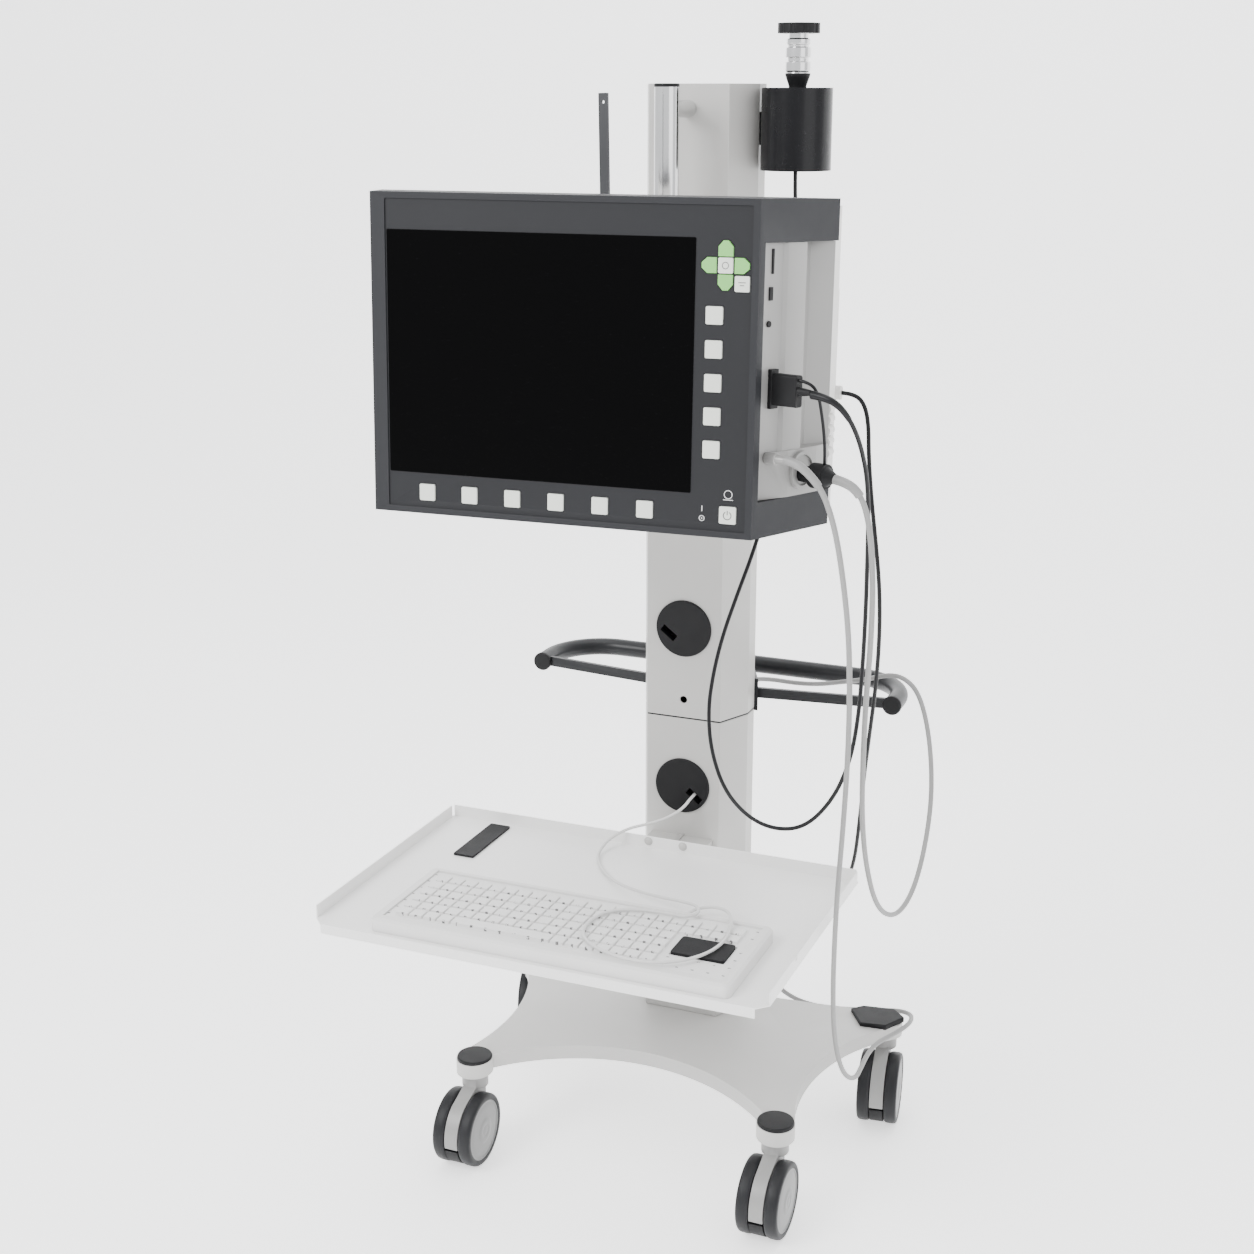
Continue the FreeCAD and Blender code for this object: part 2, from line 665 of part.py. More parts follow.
def make_screen_bracket():
    """Clamp on the rail with two hinge ears; the pin goes through the unit's lug."""
    y = size("rail_y")
    z = size("unit_z")
    pin_y = size("pin_y")
    rail = Part.makeCylinder(size("rail_radius"), 300, Vector(0, y, z - 150))
    block = Part.makeBox(56, 62, 60, Vector(-28, y - 31, z - 30))
    block = block.cut(rail)
    ears = []
    for x in (-34.0, 22.0):
        ear = Part.makeBox(12, pin_y * -1 + y - 30, 32, Vector(x, pin_y, z - 16))
        nose = Part.makeCylinder(16, 12, Vector(x, pin_y, z), Vector(1, 0, 0))
        ears.append(ear.fuse(nose))
    back = Part.makeBox(68, 10, 60, Vector(-34, y - 41, z - 30))
    pin = Part.makeCylinder(size("pin_radius"), 84, Vector(-42, pin_y, z), Vector(1, 0, 0))
    knob_left = Part.makeCylinder(12, 8, Vector(-50, pin_y, z), Vector(1, 0, 0))
    knob_right = Part.makeCylinder(12, 8, Vector(42, pin_y, z), Vector(1, 0, 0))
    bracket = block.multiFuse(ears + [back, pin, knob_left, knob_right]).removeSplitter()
    turn = Placement(Vector(0, 0, 0), Rotation(Vector(0, 0, 1), size("unit_yaw")),
                     Vector(0, y, z))
    solid_node("screen_bracket", bracket, turn)


def pin_centre():
    """Hinge pin's middle: the bracket is turned about the rail by the unit's yaw."""
    yaw = math.radians(size("unit_yaw"))
    reach = size("pin_y") - size("rail_y")
    return Vector(-reach * math.sin(yaw), size("rail_y") + reach * math.cos(yaw), size("unit_z"))


def make_unit_mount():
    """Plate on the unit's back with the hinge lug, and the flat bar that stands behind it."""
    depth = size("unit_body_depth") + size("rear_housing_depth") + size("rear_box_depth")
    place = unit_place()
    pin = place.inverse().multVec(pin_centre())
    plate = Part.makeBox(120, 4, 100, Vector(pin.x - 60, depth + 0.1, pin.z - 50))
    lug = Part.makeBox(43, pin.y - depth - 4, 30, Vector(pin.x - 21.5, depth + 4, pin.z - 15))
    nose = Part.makeCylinder(15, 43, Vector(pin.x - 21.5, pin.y, pin.z), Vector(1, 0, 0))
    hole = Part.makeCylinder(size("pin_radius") + size("running_gap"), 60,
                             Vector(pin.x - 30, pin.y, pin.z), Vector(1, 0, 0))
    mount = plate.multiFuse([lug, nose]).cut(hole).removeSplitter()
    shelf = size("unit_body_depth") + size("rear_housing_depth")
    bar = Part.makeBox(11, 5, 212.5, Vector(-5.5, 0, 0))
    bar = bar.cut(Part.makeCylinder(2.0, 20, Vector(0, -8, 202.5), Vector(0, 1, 0)))
    bar.Placement = Placement(Vector(-11.3, shelf + 0.1, 77.5), Rotation(Vector(0, 1, 0), -1.7))
    solid_node("unit_mount", Part.makeCompound([mount, bar]), place)


def make_cup():
    """Open cup beside the column's top, held by a short side arm."""
    radius = size("cup_radius")
    wall = size("cup_wall")
    low = size("cup_bottom")
    place = Vector(size("cup_x"), size("cup_y"), low)
    profile = [(5.0, 0.0), (radius, 0.0), (radius, size("cup_height")),
               (radius - wall, size("cup_height")), (radius - wall, 4.0), (5.0, 4.0)]
    cup = new_body("cup_shell")
    add_revolution(cup, "XZ_Plane", [lines(profile)], "Z_Axis")
    cup.Placement = Placement(place, Rotation())
    arm = box("cup_arm", (size("column_half_side") + 0.1, size("cup_x") - radius + 1.0), (52, 74),
              (low + 30, low + 70))
    keep(fused("cup_and_arm", [cup, arm]), "cup_holder")


def make_camera_head():
    """Camera head standing in the cup: stem, black cone, bright ribbed rings, lobed knob."""
    base = size("cup_bottom") + 12.0
    rim = size("cup_bottom") + size("cup_height")
    half = [(0, base), (11, base), (11, rim + 2), (15.5, rim + 15), (15.5, rim + 17),
            (14.0, rim + 18), (15.5, rim + 20), (15.5, rim + 30), (13.0, rim + 31),
            (13.0, rim + 35), (15.5, rim + 36), (15.5, rim + 47), (13.0, rim + 48),
            (13.0, rim + 50), (14.5, rim + 51), (14.5, rim + 57), (12.0, rim + 58),
            (12.0, rim + 64), (0, rim + 64)]
    profile = [Vector(r, 0, z) for r, z in half]
    head = Part.Face(Part.makePolygon(profile + profile[:1]))
    head = head.revolve(Vector(0, 0, 0), Vector(0, 0, 1), 360)
    knob = Part.makeCylinder(size("knob_radius"), 12.0, Vector(0, 0, rim + 64))
    lobes = 10
    for index in range(lobes):
        angle = 2 * math.pi * (index + 0.5) / lobes
        centre = Vector(29.0 * math.cos(angle), 29.0 * math.sin(angle), rim + 60)
        knob = knob.cut(Part.makeCylinder(4.5, 20, centre))
    solid_node("camera_head", head.fuse(knob).removeSplitter(),
               Placement(Vector(size("cup_x"), size("cup_y"), 0), Rotation()))


# ---------------------------------------------------------------- screen unit

def unit_plan(depth):
    """Plan outline of the unit, widening towards the rear."""
    half = size("unit_width") / 2
    flare = size("unit_flare") * depth / size("unit_body_depth")
    return lines(mirrored([(half, 0.0), (half + flare, depth)]))


def side_point(along, outward=0.0):
    """Plan point on the unit's right flank, from distances along it and out from it."""
    slope = math.atan2(size("unit_flare"), size("unit_body_depth"))
    x = size("unit_width") / 2 + along * math.sin(slope) + outward * math.cos(slope)
    y = along * math.cos(slope) - outward * math.sin(slope)
    return (x, y)


def flank(points):
    return [side_point(along, outward) for along, outward in points]


def make_unit_frame():
    """Dark housing: shallow front recess, key wells, and an open flank for the sockets."""
    half_height = size("unit_height") / 2
    depth = size("unit_body_depth")
    recess = size("panel_recess")
    body = new_body("unit_frame")
    add_pad(body, "XY_Plane", [unit_plan(depth)], "Sizes.unit_height", offset=-half_height)
    foil = [rounded(-207.0, -171.5, 217.0, 171.5, 2.0)]
    add_pocket(body, "XZ_Plane", foil, "Sizes.panel_recess")
    bay = lines(flank([(10, 2), (144, 2), (144, -30), (10, -30)]))
    add_pocket(body, "XY_Plane", [bay], "273", offset=134.0)
    hollow = lines(mirrored([(196.0, 14.0), (206.0, depth - 4.0)]))
    add_pocket(body, "XY_Plane", [hollow], "Sizes.unit_height - 16", offset=half_height - 8)
    for u, v, half in key_wells():
        add_pocket(body, "XZ_Plane", [rounded(u - half, v - half, u + half, v + half, 0.4)],
                   "Sizes.key_depth + 2", offset=-recess)
    body.Placement = unit_place()
    keep(body, "unit_frame")


def key_places():
    """Middle of each key on the front face: (name, across, up)."""
    places = [("key_row_%d" % (index + 1), -158.6 + 52.3 * index, -154.0) for index in range(6)]
    places += [("key_column_%d" % (index + 1), 177.0, 58.2 - 35.5 * index) for index in range(5)]
    places += [("key_arrow_up", 188.0, 127.5), ("key_arrow_down", 188.0, 92.5),
               ("key_arrow_left", 170.0, 110.0), ("key_arrow_right", 206.0, 110.0),
               ("key_confirm", 188.0, 110.0), ("key_lower", 206.5, 91.5),
               ("key_power", 197.4, -153.5)]
    return places


def key_half(name):
    small = name.startswith("key_arrow") or name in ("key_confirm", "key_lower")
    return (size("arrow_size") if small else size("key_size")) / 2


def key_wells():
    return [(u, v, key_half(name) + size("free_gap")) for name, u, v in key_places()]


def key_outline(name, u, v):
    half = key_half(name)
    if not name.startswith("key_arrow"):
        return rounded(u - half, v - half, u + half, v + half, 1.8)
    house = [(-half, -half), (half, -half), (half, half * 0.25), (half * 0.35, half),
             (-half * 0.35, half), (-half, half * 0.25)]
    turn = {"up": 0, "left": 90, "down": 180, "right": 270}[name.split("_")[-1]]
    angle = math.radians(turn)
    return lines([(u + x * math.cos(angle) - y * math.sin(angle),
                   v + x * math.sin(angle) + y * math.cos(angle)) for x, y in house])


def make_keys():
    """Every key is its own piece, in a well of the front panel, and presses in."""
    for name, u, v in key_places():
        body = new_body(name)
        front = size("panel_recess") - size("key_rise")
        solid = add_pad(body, "XZ_Plane", [key_outline(name, u, v)],
                        "Sizes.key_depth + Sizes.key_rise",
                        offset=-size("panel_recess") - size("key_depth"))
        rim = edges_at(solid, lambda centre, edge: edge.BoundBox.YMax < front + 0.01)
        bevel(body, solid, rim, 0.6)
        body.Placement = unit_place()
        keep(body, name)


def make_screen():
    left = -205.0
    body = new_body("screen_glass")
    glass = [rounded(left, -132.0, left + 360.0, 138.0, 1.5)]
    add_pad(body, "XZ_Plane", glass, "0.8", offset=-size("panel_recess"))
    body.Placement = unit_place()
    keep(body, "screen_glass")


def make_rear_housing():
    """White rear shell, with cooling ribs on its right flank and a deeper box below."""
    depth = size("unit_body_depth") + 0.1
    rear = depth + size("rear_housing_depth") - 0.1
    box_rear = rear + size("rear_box_depth")
    half = size("unit_width") / 2 + size("unit_flare") - 6.0
    shell = Part.makeBox(2 * half, rear - depth, 340, Vector(-half, depth, -170))
    upright = [edge for edge in shell.Edges
               if edge.BoundBox.ZLength > 300 and edge.BoundBox.YMin > rear - 1]
    shell = shell.makeFillet(14, upright)
    deep = Part.makeBox(2 * half - 16, box_rear - rear, 207, Vector(8 - half, rear, -130))
    ends = [edge for edge in deep.Edges
            if edge.BoundBox.YLength < 0.1 and edge.BoundBox.YMin > box_rear - 0.1]
    deep = deep.makeFillet(8, ends)
    ribs = []
    for index in range(5):
        centre = Vector(half - 1, depth + 1, -50.0 - 12.5 * index)
        ribs.append(Part.makeCylinder(6.0, 22, centre, Vector(0, 1, 0)))
    gland = Part.makeCylinder(8, 10, Vector(half - 8, rear + 12, -38), Vector(1, 0, 0))
    inside = Part.makeBox(2 * half - 24, rear - depth - 12, 316,
                          Vector(12 - half, depth + 6, -158))
    shape = shell.multiFuse([deep, gland] + ribs).removeSplitter().cut(inside)
    solid_node("rear_housing", shape, unit_place())


def make_side_panel():
    """Bright socket panel: upright strips above, and a block with the light socket below."""
    strips = flank([(10.5, -5.0), (48.0, -5.0), (52.0, -1.5), (85.0, -1.5), (90.0, -12.0),
                    (114.0, -18.0), (138.5, -3.0), (128.2, -29.0), (10.5, -29.0)])
    block = flank([(10.5, -9.0), (60.0, 1.0), (112.0, 1.0), (138.5, -2.0),
                   (128.2, -29.0), (10.5, -29.0)])
    upper = polygon_slab(strips, -87.5, 221)
    lower = polygon_slab(block, -138.5, 51)
    plug_hole = on_flank(along_x(6.7, 0.0, 14), 30, -5.3, -93)
    lower = lower.cut(plug_hole)
    solid_node("side_panel", upper.fuse(lower).removeSplitter(), unit_place())
    make_sockets()
    make_plugs()


def on_flank(shape, along, outward, height):
    """Place a shape built about its own origin so that its X axis points out of the flank."""
    slope = math.degrees(math.atan2(size("unit_flare"), size("unit_body_depth")))
    x, y = side_point(along, outward)
    shape = shape.copy()
    shape.Placement = Placement(Vector(x, y, height), Rotation(Vector(0, 0, 1), -slope)).multiply(
        shape.Placement)
    return shape


def along_x(radius, start, length, tip=None):
    """Round solid along X; with a tip radius it is a cone."""
    if tip is None:
        return Part.makeCylinder(radius, length, Vector(start, 0, 0), Vector(1, 0, 0))
    return Part.makeCone(radius, tip, length, Vector(start, 0, 0), Vector(1, 0, 0))


def make_sockets():
    """Card slot, data socket, small jack and the light socket's ring."""
    card = Part.makeBox(1.6, 3.0, 26, Vector(0.05, -1.5, -13))
    data = Part.makeBox(1.6, 6.0, 14, Vector(0.05, -3.0, -7))
    jack = along_x(3.4, 0.05, 1.8)
    ring = along_x(21, 0.05, 4).cut(along_x(17, 1.2, 3))
    shapes = [on_flank(card, 29, -5.0, 114.5), on_flank(data, 27, -5.0, 81),
              on_flank(jack, 25, -5.0, 49.5), on_flank(ring, 84, 1.0, -111)]
    solid_node("side_sockets", Part.makeCompound(shapes), unit_place())


def make_plugs():
    """Video plug with its flange, bright round plug, and the black light-cable adapter."""
    flange = Part.makeBox(4.5, 13, 42, Vector(0.1, -6.5, -21))
    hood = Part.makeBox(32, 12, 34, Vector(4.6, -6, -17))
    hood = hood.makeFillet(3, [edge for edge in hood.Edges if edge.BoundBox.XLength > 30])
    video = flange.multiFuse([hood, along_x(5.0, 36.6, 16, 3.0)]).removeSplitter()
    collar = along_x(6.5, 0.1, 14)
    round_plug = collar.fuse(along_x(5.5, 14.1, 11, 4.0)).removeSplitter()
    adapter = along_x(9.0, 1.3, 16)
    adapter = adapter.multiFuse([along_x(14.0, 17.3, 18), along_x(11.0, 35.3, 11, 5.0)])
    shapes = [on_flank(video, 34, -5.0, -19), on_flank(round_plug, 30, -5.3, -93),
              on_flank(adapter.removeSplitter(), 84, 1.0, -115)]
    solid_node("cable_plugs", Part.makeCompound(shapes), unit_place())


# ---------------------------------------------------------------- free cords

CORD_ROUTES = {
    "handset_cable": [
        (282.0, -371.9, 1103.6), (298, -378, 1102.8), (314, -378, 1095), (325, -364, 1074),
        (329, -340, 1044), (328, -308, 1004), (324, -284, 957), (321, -270, 906),
        (319, -261, 842), (316, -254, 777), (312, -249, 712), (303, -245, 654),
        (283, -242, 602), (248, -234, 558), (206, -220, 542), (164, -204, 546),
        (126, -186, 570), (102, -170, 614), (92, -155, 662), (95, -145, 709),
        (103, -135, 755), (116, -125, 802), (133, -108, 862), (143, -78, 925),
        (147, -44, 990), (146, -8, 1055), (141, 22, 1120), (134, 40, 1186), (128, 47, 1248),
        (125, 48, 1290), (125, 48, 1313.9)],
    "rear_cable": [
        (264.2, -197.0, 1079.1), (279, -196, 1078.5), (291, -196, 1068), (297, -197, 1045),
        (299, -199, 1008), (305, -200, 955), (312, -200, 906), (318, -198, 852),
        (318, -190, 789), (312, -176, 724), (302, -156, 663), (289, -127, 592),
        (277, -96, 512), (262, -58, 442), (238, -10, 388), (206, 40, 348), (166, 86, 320),
        (122, 116, 304), (92, 114.4, 300), (64.4, 102, 300)],
    "grey_cable": [
        (253.8, -369.6, 1031.6), (267, -374.5, 1030.4), (281, -375, 1021), (293, -368, 1004),
        (301, -357, 978), (307, -345, 942), (312, -330, 888), (315, -313, 824),
        (313, -293, 744), (306, -268, 655), (297, -245, 566), (286, -220, 476),
        (277, -193, 388), (270, -167, 308), (266, -141, 238), (267, -114, 180),
        (271, -88, 146), (276, -60, 131), (275, -30, 131), (275, 0, 135), (279, 27, 138),
        (291, 53, 139), (305, 79, 141), (311, 104, 142), (305, 127, 140), (284, 139, 136),
        (254, 137, 131), (217, 131, 128), (180, 125, 126), (143, 122, 129),
        (109, 130, 137), (81, 148, 152), (62, 168, 175), (53, 180, 205), (50, 181, 238),
        (50, 163, 267), (50, 127.0, 272)],
    "light_cable": [
        (297.6, -329.2, 1006.6), (312, -334, 1005), (326, -334, 995), (334, -329, 974),
        (338, -320, 938), (339, -309, 885), (335, -294, 816), (326, -272, 740),
        (319, -248, 663), (312, -218, 580), (309, -180, 499), (313, -134, 421),
        (326, -94, 391), (337, -54, 402), (341, -10, 439), (338, 40, 494), (327, 80, 541),
        (312, 108, 588), (293, 127, 625), (270, 138, 639), (246, 146, 638), (216, 155, 625),
        (178, 162, 614), (140, 167, 604), (104, 172, 600), (72, 170, 602), (50, 154, 605),
        (44, 131.5, 606)],
    "keyboard_cable": [
        (18, 6, 480), (17.5, -12, 480), (11, -27, 468), (-8, -38, 455), (-32, -50, 447),
        (-54, -64, 443), (-72, -84, 434), (-78, -106, 425), (-72, -130, 421.4),
        (-54, -158, 421.4), (-26, -189, 423), (12, -216, 428), (56, -238, 435),
        (98, -252, 441), (121, -261, 443), (129, -279, 442), (116, -293, 441.4),
        (94, -291, 441.4), (58, -294, 441.4), (30, -306, 441.4), (16, -328, 441.4),
        (12, -358, 441.4), (20, -388, 441.4), (46, -411, 441.4), (84, -424, 441.4),
        (122, -423, 441.4), (150, -409, 441.4), (171, -384, 441.4), (182, -352, 441.4),
        (181, -318, 441.4), (174, -285, 442), (160, -258, 441), (142, -243, 437),
        (122, -238, 432), (107, -248, 429), (106, -267.9, 429)],
    "tether": [
        (266.3, -366.3, 1117), (280, -369, 1115.5), (286, -361, 1102), (287, -353, 1084),
        (288, -345, 1062), (287, -335, 1040), (284, -324.5, 1021.6)],
}


def make_cords():
    for label, route in CORD_ROUTES.items():
        diameter = size("grey_cable" if label == "light_cable" else label)
        shape, length, radii = tube(route, diameter / 2)
        report_cord(label, diameter, length, shape.Volume, radii)
        solid_node(label, shape)


# ---------------------------------------------------------------- assembly

def cart_shift():
    """Move from the column's front face to the bottom centre of the cart's box."""
    right = size("rear_stem_x") + size("boss_radius")
    rear = size("handle_front") + size("handle_depth") + size("handle_tube_radius")
    return Vector(-(size("tray_left") + right) / 2, -(size("tray_front") + rear) / 2, 0)


def write_parts():
    doc.recompute()
    shift = Placement(cart_shift(), Rotation())
    for item in nodes:
        item.Placement = shift.multiply(item.Placement)
    doc.recompute()
    for item in doc.Objects:
        if "Invalid" in item.State or "Error" in item.State:
            raise RuntimeError("%s failed: %s" % (item.Name, item.State))
    for item in nodes:
        if item.Shape.isNull() or not item.Shape.isValid():
            raise RuntimeError("bad shape: " + item.Label)
    os.makedirs("parts", exist_ok=True)
    for item in nodes:
        item.Shape.exportStep("parts/%s.step" % item.Label)
    print(len(nodes), "nodes written; shift", cart_shift())


CASTER_TURNS = {"front_left": 0.0, "front_right": 0.0, "rear_left": 195.0, "rear_right": 8.0}

make_base()
for caster, (stem_x, stem_y) in stem_places().items():
    make_caster(caster, stem_x, stem_y, CASTER_TURNS[caster])
make_column()
make_tray()
make_tray_mount()
make_keyboard()
make_handle()
make_rail()
make_screen_bracket()
make_unit_mount()
make_cup()
make_camera_head()
make_unit_frame()
make_screen()
make_keys()
make_rear_housing()
make_side_panel()
make_cords()
write_parts()
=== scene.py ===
# %% [markdown]
# # A medical imaging cart
# The CAD model gives every solid part at its real size. This file adds what the
# eye sees: soft edges, finishes, cords, tyres, key symbols and the light. It loads
# the CAD parts first, because every place here is measured from them.

# %% The frame and its box
import json
import math

import bmesh
import bpy
from mathutils import Matrix, Vector


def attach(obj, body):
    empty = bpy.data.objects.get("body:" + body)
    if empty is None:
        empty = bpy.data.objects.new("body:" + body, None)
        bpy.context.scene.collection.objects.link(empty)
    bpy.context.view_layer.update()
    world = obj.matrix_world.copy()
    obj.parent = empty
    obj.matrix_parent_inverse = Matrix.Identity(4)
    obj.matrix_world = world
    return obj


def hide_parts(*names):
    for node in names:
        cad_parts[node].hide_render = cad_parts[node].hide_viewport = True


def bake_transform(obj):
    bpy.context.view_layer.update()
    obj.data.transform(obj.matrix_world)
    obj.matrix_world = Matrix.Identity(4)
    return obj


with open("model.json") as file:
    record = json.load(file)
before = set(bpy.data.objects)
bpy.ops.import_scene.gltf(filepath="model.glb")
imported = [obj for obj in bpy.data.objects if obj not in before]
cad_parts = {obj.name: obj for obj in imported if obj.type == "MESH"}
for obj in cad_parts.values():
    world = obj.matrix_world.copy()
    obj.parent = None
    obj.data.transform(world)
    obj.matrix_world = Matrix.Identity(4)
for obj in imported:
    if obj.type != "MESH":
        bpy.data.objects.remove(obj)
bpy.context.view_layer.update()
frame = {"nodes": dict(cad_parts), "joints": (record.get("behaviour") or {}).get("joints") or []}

# %% [markdown]
# ## Camera
# The cart is seen from its right front, from a little below the top of the column,
# with a short telephoto lens, so that upright edges lean together only slightly.

# %% Camera
CAMERA_PLACE = Vector((0.8515, -2.1038, 1.41))
CAMERA_DOWN = 0.285  # radians below level
CAMERA_LEFT = 0.395  # radians to the left of straight back
LENS_LENGTH = 52.6
SENSOR_WIDTH = 36.0

camera_data = bpy.data.cameras.new("camera")
camera_data.lens = LENS_LENGTH
camera_data.sensor_width = SENSOR_WIDTH
camera = bpy.data.objects.new("camera", camera_data)
camera.location = CAMERA_PLACE
camera.rotation_euler = (math.pi / 2 - CAMERA_DOWN, 0.0, CAMERA_LEFT)
bpy.context.scene.collection.objects.link(camera)
bpy.context.scene.camera = camera
print("camera at", tuple(CAMERA_PLACE), "with a lens of", LENS_LENGTH, "mm")

# %% [markdown]
# ## Shader helpers
# A finish is mostly sums and products of noises. Wrapping a socket in a small class
# lets those be written as plain expressions, each of which adds its own node.

# %% Sockets as numbers
class Wire:
    """An output socket that can be added, subtracted, multiplied and limited."""

    def __init__(self, finish, socket):
        self.finish = finish
        self.socket = socket

    def maths(self, operation, first, second=0.0, clamp=False):
        settings = {"operation": operation, "use_clamp": clamp}
        return self.finish.node("ShaderNodeMath", settings, {0: first, 1: second})

    def __add__(self, other):
        return self.maths("ADD", self, other)

    def __sub__(self, other):
        return self.maths("SUBTRACT", self, other)

    def __mul__(self, other):
        return self.maths("MULTIPLY", self, other)

    def __gt__(self, other):
        return self.maths("GREATER_THAN", self, other)

    def __lt__(self, other):
        return self.maths("LESS_THAN", self, other)

    def __mod__(self, other):
        return self.maths("FLOORED_MODULO", self, other)

    def __abs__(self):
        return self.maths("ABSOLUTE", self)

    def limited(self):
        return self.maths("ADD", self, 0.0, clamp=True)

    __radd__ = __add__


# %% A material and its nodes
BUMP_STRENGTH = 0.5


class Finish:
    """A material being made, with its shader and its Object coordinates."""

    def __init__(self, name):
        self.material = bpy.data.materials.new(name)
        self.material.use_nodes = True
        self.tree = self.material.node_tree
        self.shader = self.tree.nodes["Principled BSDF"]
        self.place = self.node("ShaderNodeTexCoord", {}, {}, "Object")

    def node(self, kind, settings, values, output=0):
        """Add a node: its settings first, then a number, colour or wire for each socket."""
        node = self.tree.nodes.new(kind)
        for name, value in settings.items():
            setattr(node, name, value)
        for name, value in values.items():
            self.feed(node.inputs[name], value)
        return Wire(self, node.outputs[output])

    def feed(self, socket, value):
        if isinstance(value, Wire):
            self.tree.links.new(value.socket, socket)
        else:
            socket.default_value = value

    def set(self, **values):
        """Feed the shader's own sockets, and hand back the material."""
        for name, value in values.items():
            self.feed(self.shader.inputs[name.replace("_", " ")], value)
        return self.material

    def noise(self, scale, detail=2.0, roughness=0.5, at=None):
        values = {"Vector": at or self.place, "Scale": scale, "Detail": detail,
                  "Roughness": roughness}
        return self.node("ShaderNodeTexNoise", {}, values)

    def blend(self, mask, first, second):
        values = {"Factor": mask, 6: first, 7: second}
        return self.node("ShaderNodeMix", {"data_type": "RGBA"}, values, 2)

    def bump(self, height, depth):
        """Raise the skin by up to `depth` metres where `height` is 1."""
        values = {"Height": height, "Distance": depth, "Strength": BUMP_STRENGTH}
        return self.node("ShaderNodeBump", {}, values)

    def axes(self):
        """The three Object coordinates, each as a wire of its own."""
        node = self.tree.nodes.new("ShaderNodeSeparateXYZ")
        self.feed(node.inputs[0], self.place)
        return [Wire(self, socket) for socket in node.outputs]


def grey(level, warm=0.0):
    """A grey colour, with less blue the warmer it is."""
    return (level, level * (1 - warm / 3), level * (1 - warm), 1.0)


# %% [markdown]
# ## Everyday finishes
# Paint, moulded plastic and rubber differ in four things: how even the colour is,
# how rough the skin is, how coarse its grain is and how deep. One recipe with those
# four numbers gives them all: broad cloudy noise moves the colour, finer noise moves
# the roughness, and the finest noise lifts the skin as bump. Black parts also get a
# weaker mirror, because a full one would turn them grey under soft light.

# %% A skin with cloudy colour, uneven gloss and grain
CLOUD_SCALE = 9.0
SMUDGE_SCALE = 55.0
GLOSS_SWING = 0.14


def skin(name, light, dark, rough, grain, depth, mirror=0.5, metallic=0.0):
    """Two close colours, a roughness, a grain scale, a grain depth and a mirror."""
    finish = Finish(name)
    clouds = finish.noise(CLOUD_SCALE, 3.0)
    smudges = finish.noise(SMUDGE_SCALE, 4.0, 0.6)
    fine = finish.noise(grain, 3.0, 0.6)
    colour = finish.blend(clouds, dark, light)
    gloss = rough + (smudges - 0.5) * GLOSS_SWING
    finish.set(Metallic=metallic, Specular_IOR_Level=mirror)
    return finish.set(Base_Color=colour, Roughness=gloss.limited(),
                      Normal=finish.bump(fine, depth))


# %% The recipe of each paint, plastic and rubber

RECIPES = {
    "column_paint": (grey(0.46, 0.05), grey(0.41, 0.05), 0.38, 900, 0.00012),
    "tray_paint": (grey(0.84, 0.02), grey(0.79, 0.02), 0.33, 1100, 0.00008),
    "base_paint": (grey(0.50, 0.04), grey(0.44, 0.04), 0.42, 800, 0.00012),
    "bow_paint": ((0.011, 0.0115, 0.013, 1), (0.007, 0.0075, 0.009, 1), 0.36, 700, 0.0001, 0.3),
    "cap_plastic": ((0.005, 0.005, 0.006, 1), (0.003, 0.003, 0.0035, 1), 0.55, 1500, 0.00012,
                    0.25),
    "cup_plastic": ((0.004, 0.004, 0.005, 1), (0.002, 0.002, 0.003, 1), 0.26, 1200, 0.00004,
                    0.25),
    "case_plastic": ((0.019, 0.0195, 0.022, 1), (0.014, 0.0145, 0.017, 1), 0.52, 1600, 0.00012,
                     0.25),
    "bar_paint": ((0.045, 0.046, 0.050, 1), (0.033, 0.034, 0.037, 1), 0.40, 900, 0.00008, 0.3),
    "rear_plastic": (grey(0.70, 0.04), grey(0.64, 0.04), 0.45, 1400, 0.0001),
    "silver_paint": (grey(0.31, 0.04), grey(0.26, 0.04), 0.38, 1800, 0.00005, 0.5, 0.25),
    "key_white": ((0.66, 0.68, 0.63, 1), (0.60, 0.62, 0.57, 1), 0.42, 1400, 0.00005),
    "key_green": ((0.19, 0.50, 0.13, 1), (0.16, 0.44, 0.11, 1), 0.42, 1400, 0.00005),
    "tyre_rubber": ((0.007, 0.0073, 0.009, 1), (0.0045, 0.0047, 0.006, 1), 0.50, 1300, 0.00014,
                    0.3),
    "hub_plastic": (grey(0.19), grey(0.15), 0.40, 1200, 0.00006),
    "caster_grey": (grey(0.27, 0.03), grey(0.21, 0.03), 0.38, 1200, 0.00006),
    "cord_black": ((0.005, 0.005, 0.006, 1), (0.003, 0.003, 0.004, 1), 0.40, 900, 0.00006, 0.25),
    "cord_grey": (grey(0.27, 0.02), grey(0.21, 0.03), 0.42, 900, 0.00006),
    "cord_white": (grey(0.66, 0.02), grey(0.58, 0.03), 0.45, 900, 0.00006),
    "keyboard_shell": (grey(0.72, 0.02), grey(0.66, 0.03), 0.42, 1500, 0.00006),
    "pad_black": ((0.007, 0.007, 0.008, 1), (0.004, 0.004, 0.005, 1), 0.62, 2200, 0.00016, 0.25),
    "print_pale": (grey(0.60), grey(0.54), 0.5, 1500, 0.00002),
    "print_dark": (grey(0.10), grey(0.07), 0.5, 1500, 0.00002),
}
FINISHES = {name: skin(name, *recipe) for name, recipe in RECIPES.items()}
print("finishes:", len(FINISHES))

# %% [markdown]
# ## Chrome, foil and glass
# Chrome needs smears in its roughness more than any colour. The front foil is a
# printed film: darker than the case and a touch smoother. The screen is black
# behind glossy glass, with dust that only shows in the reflections.

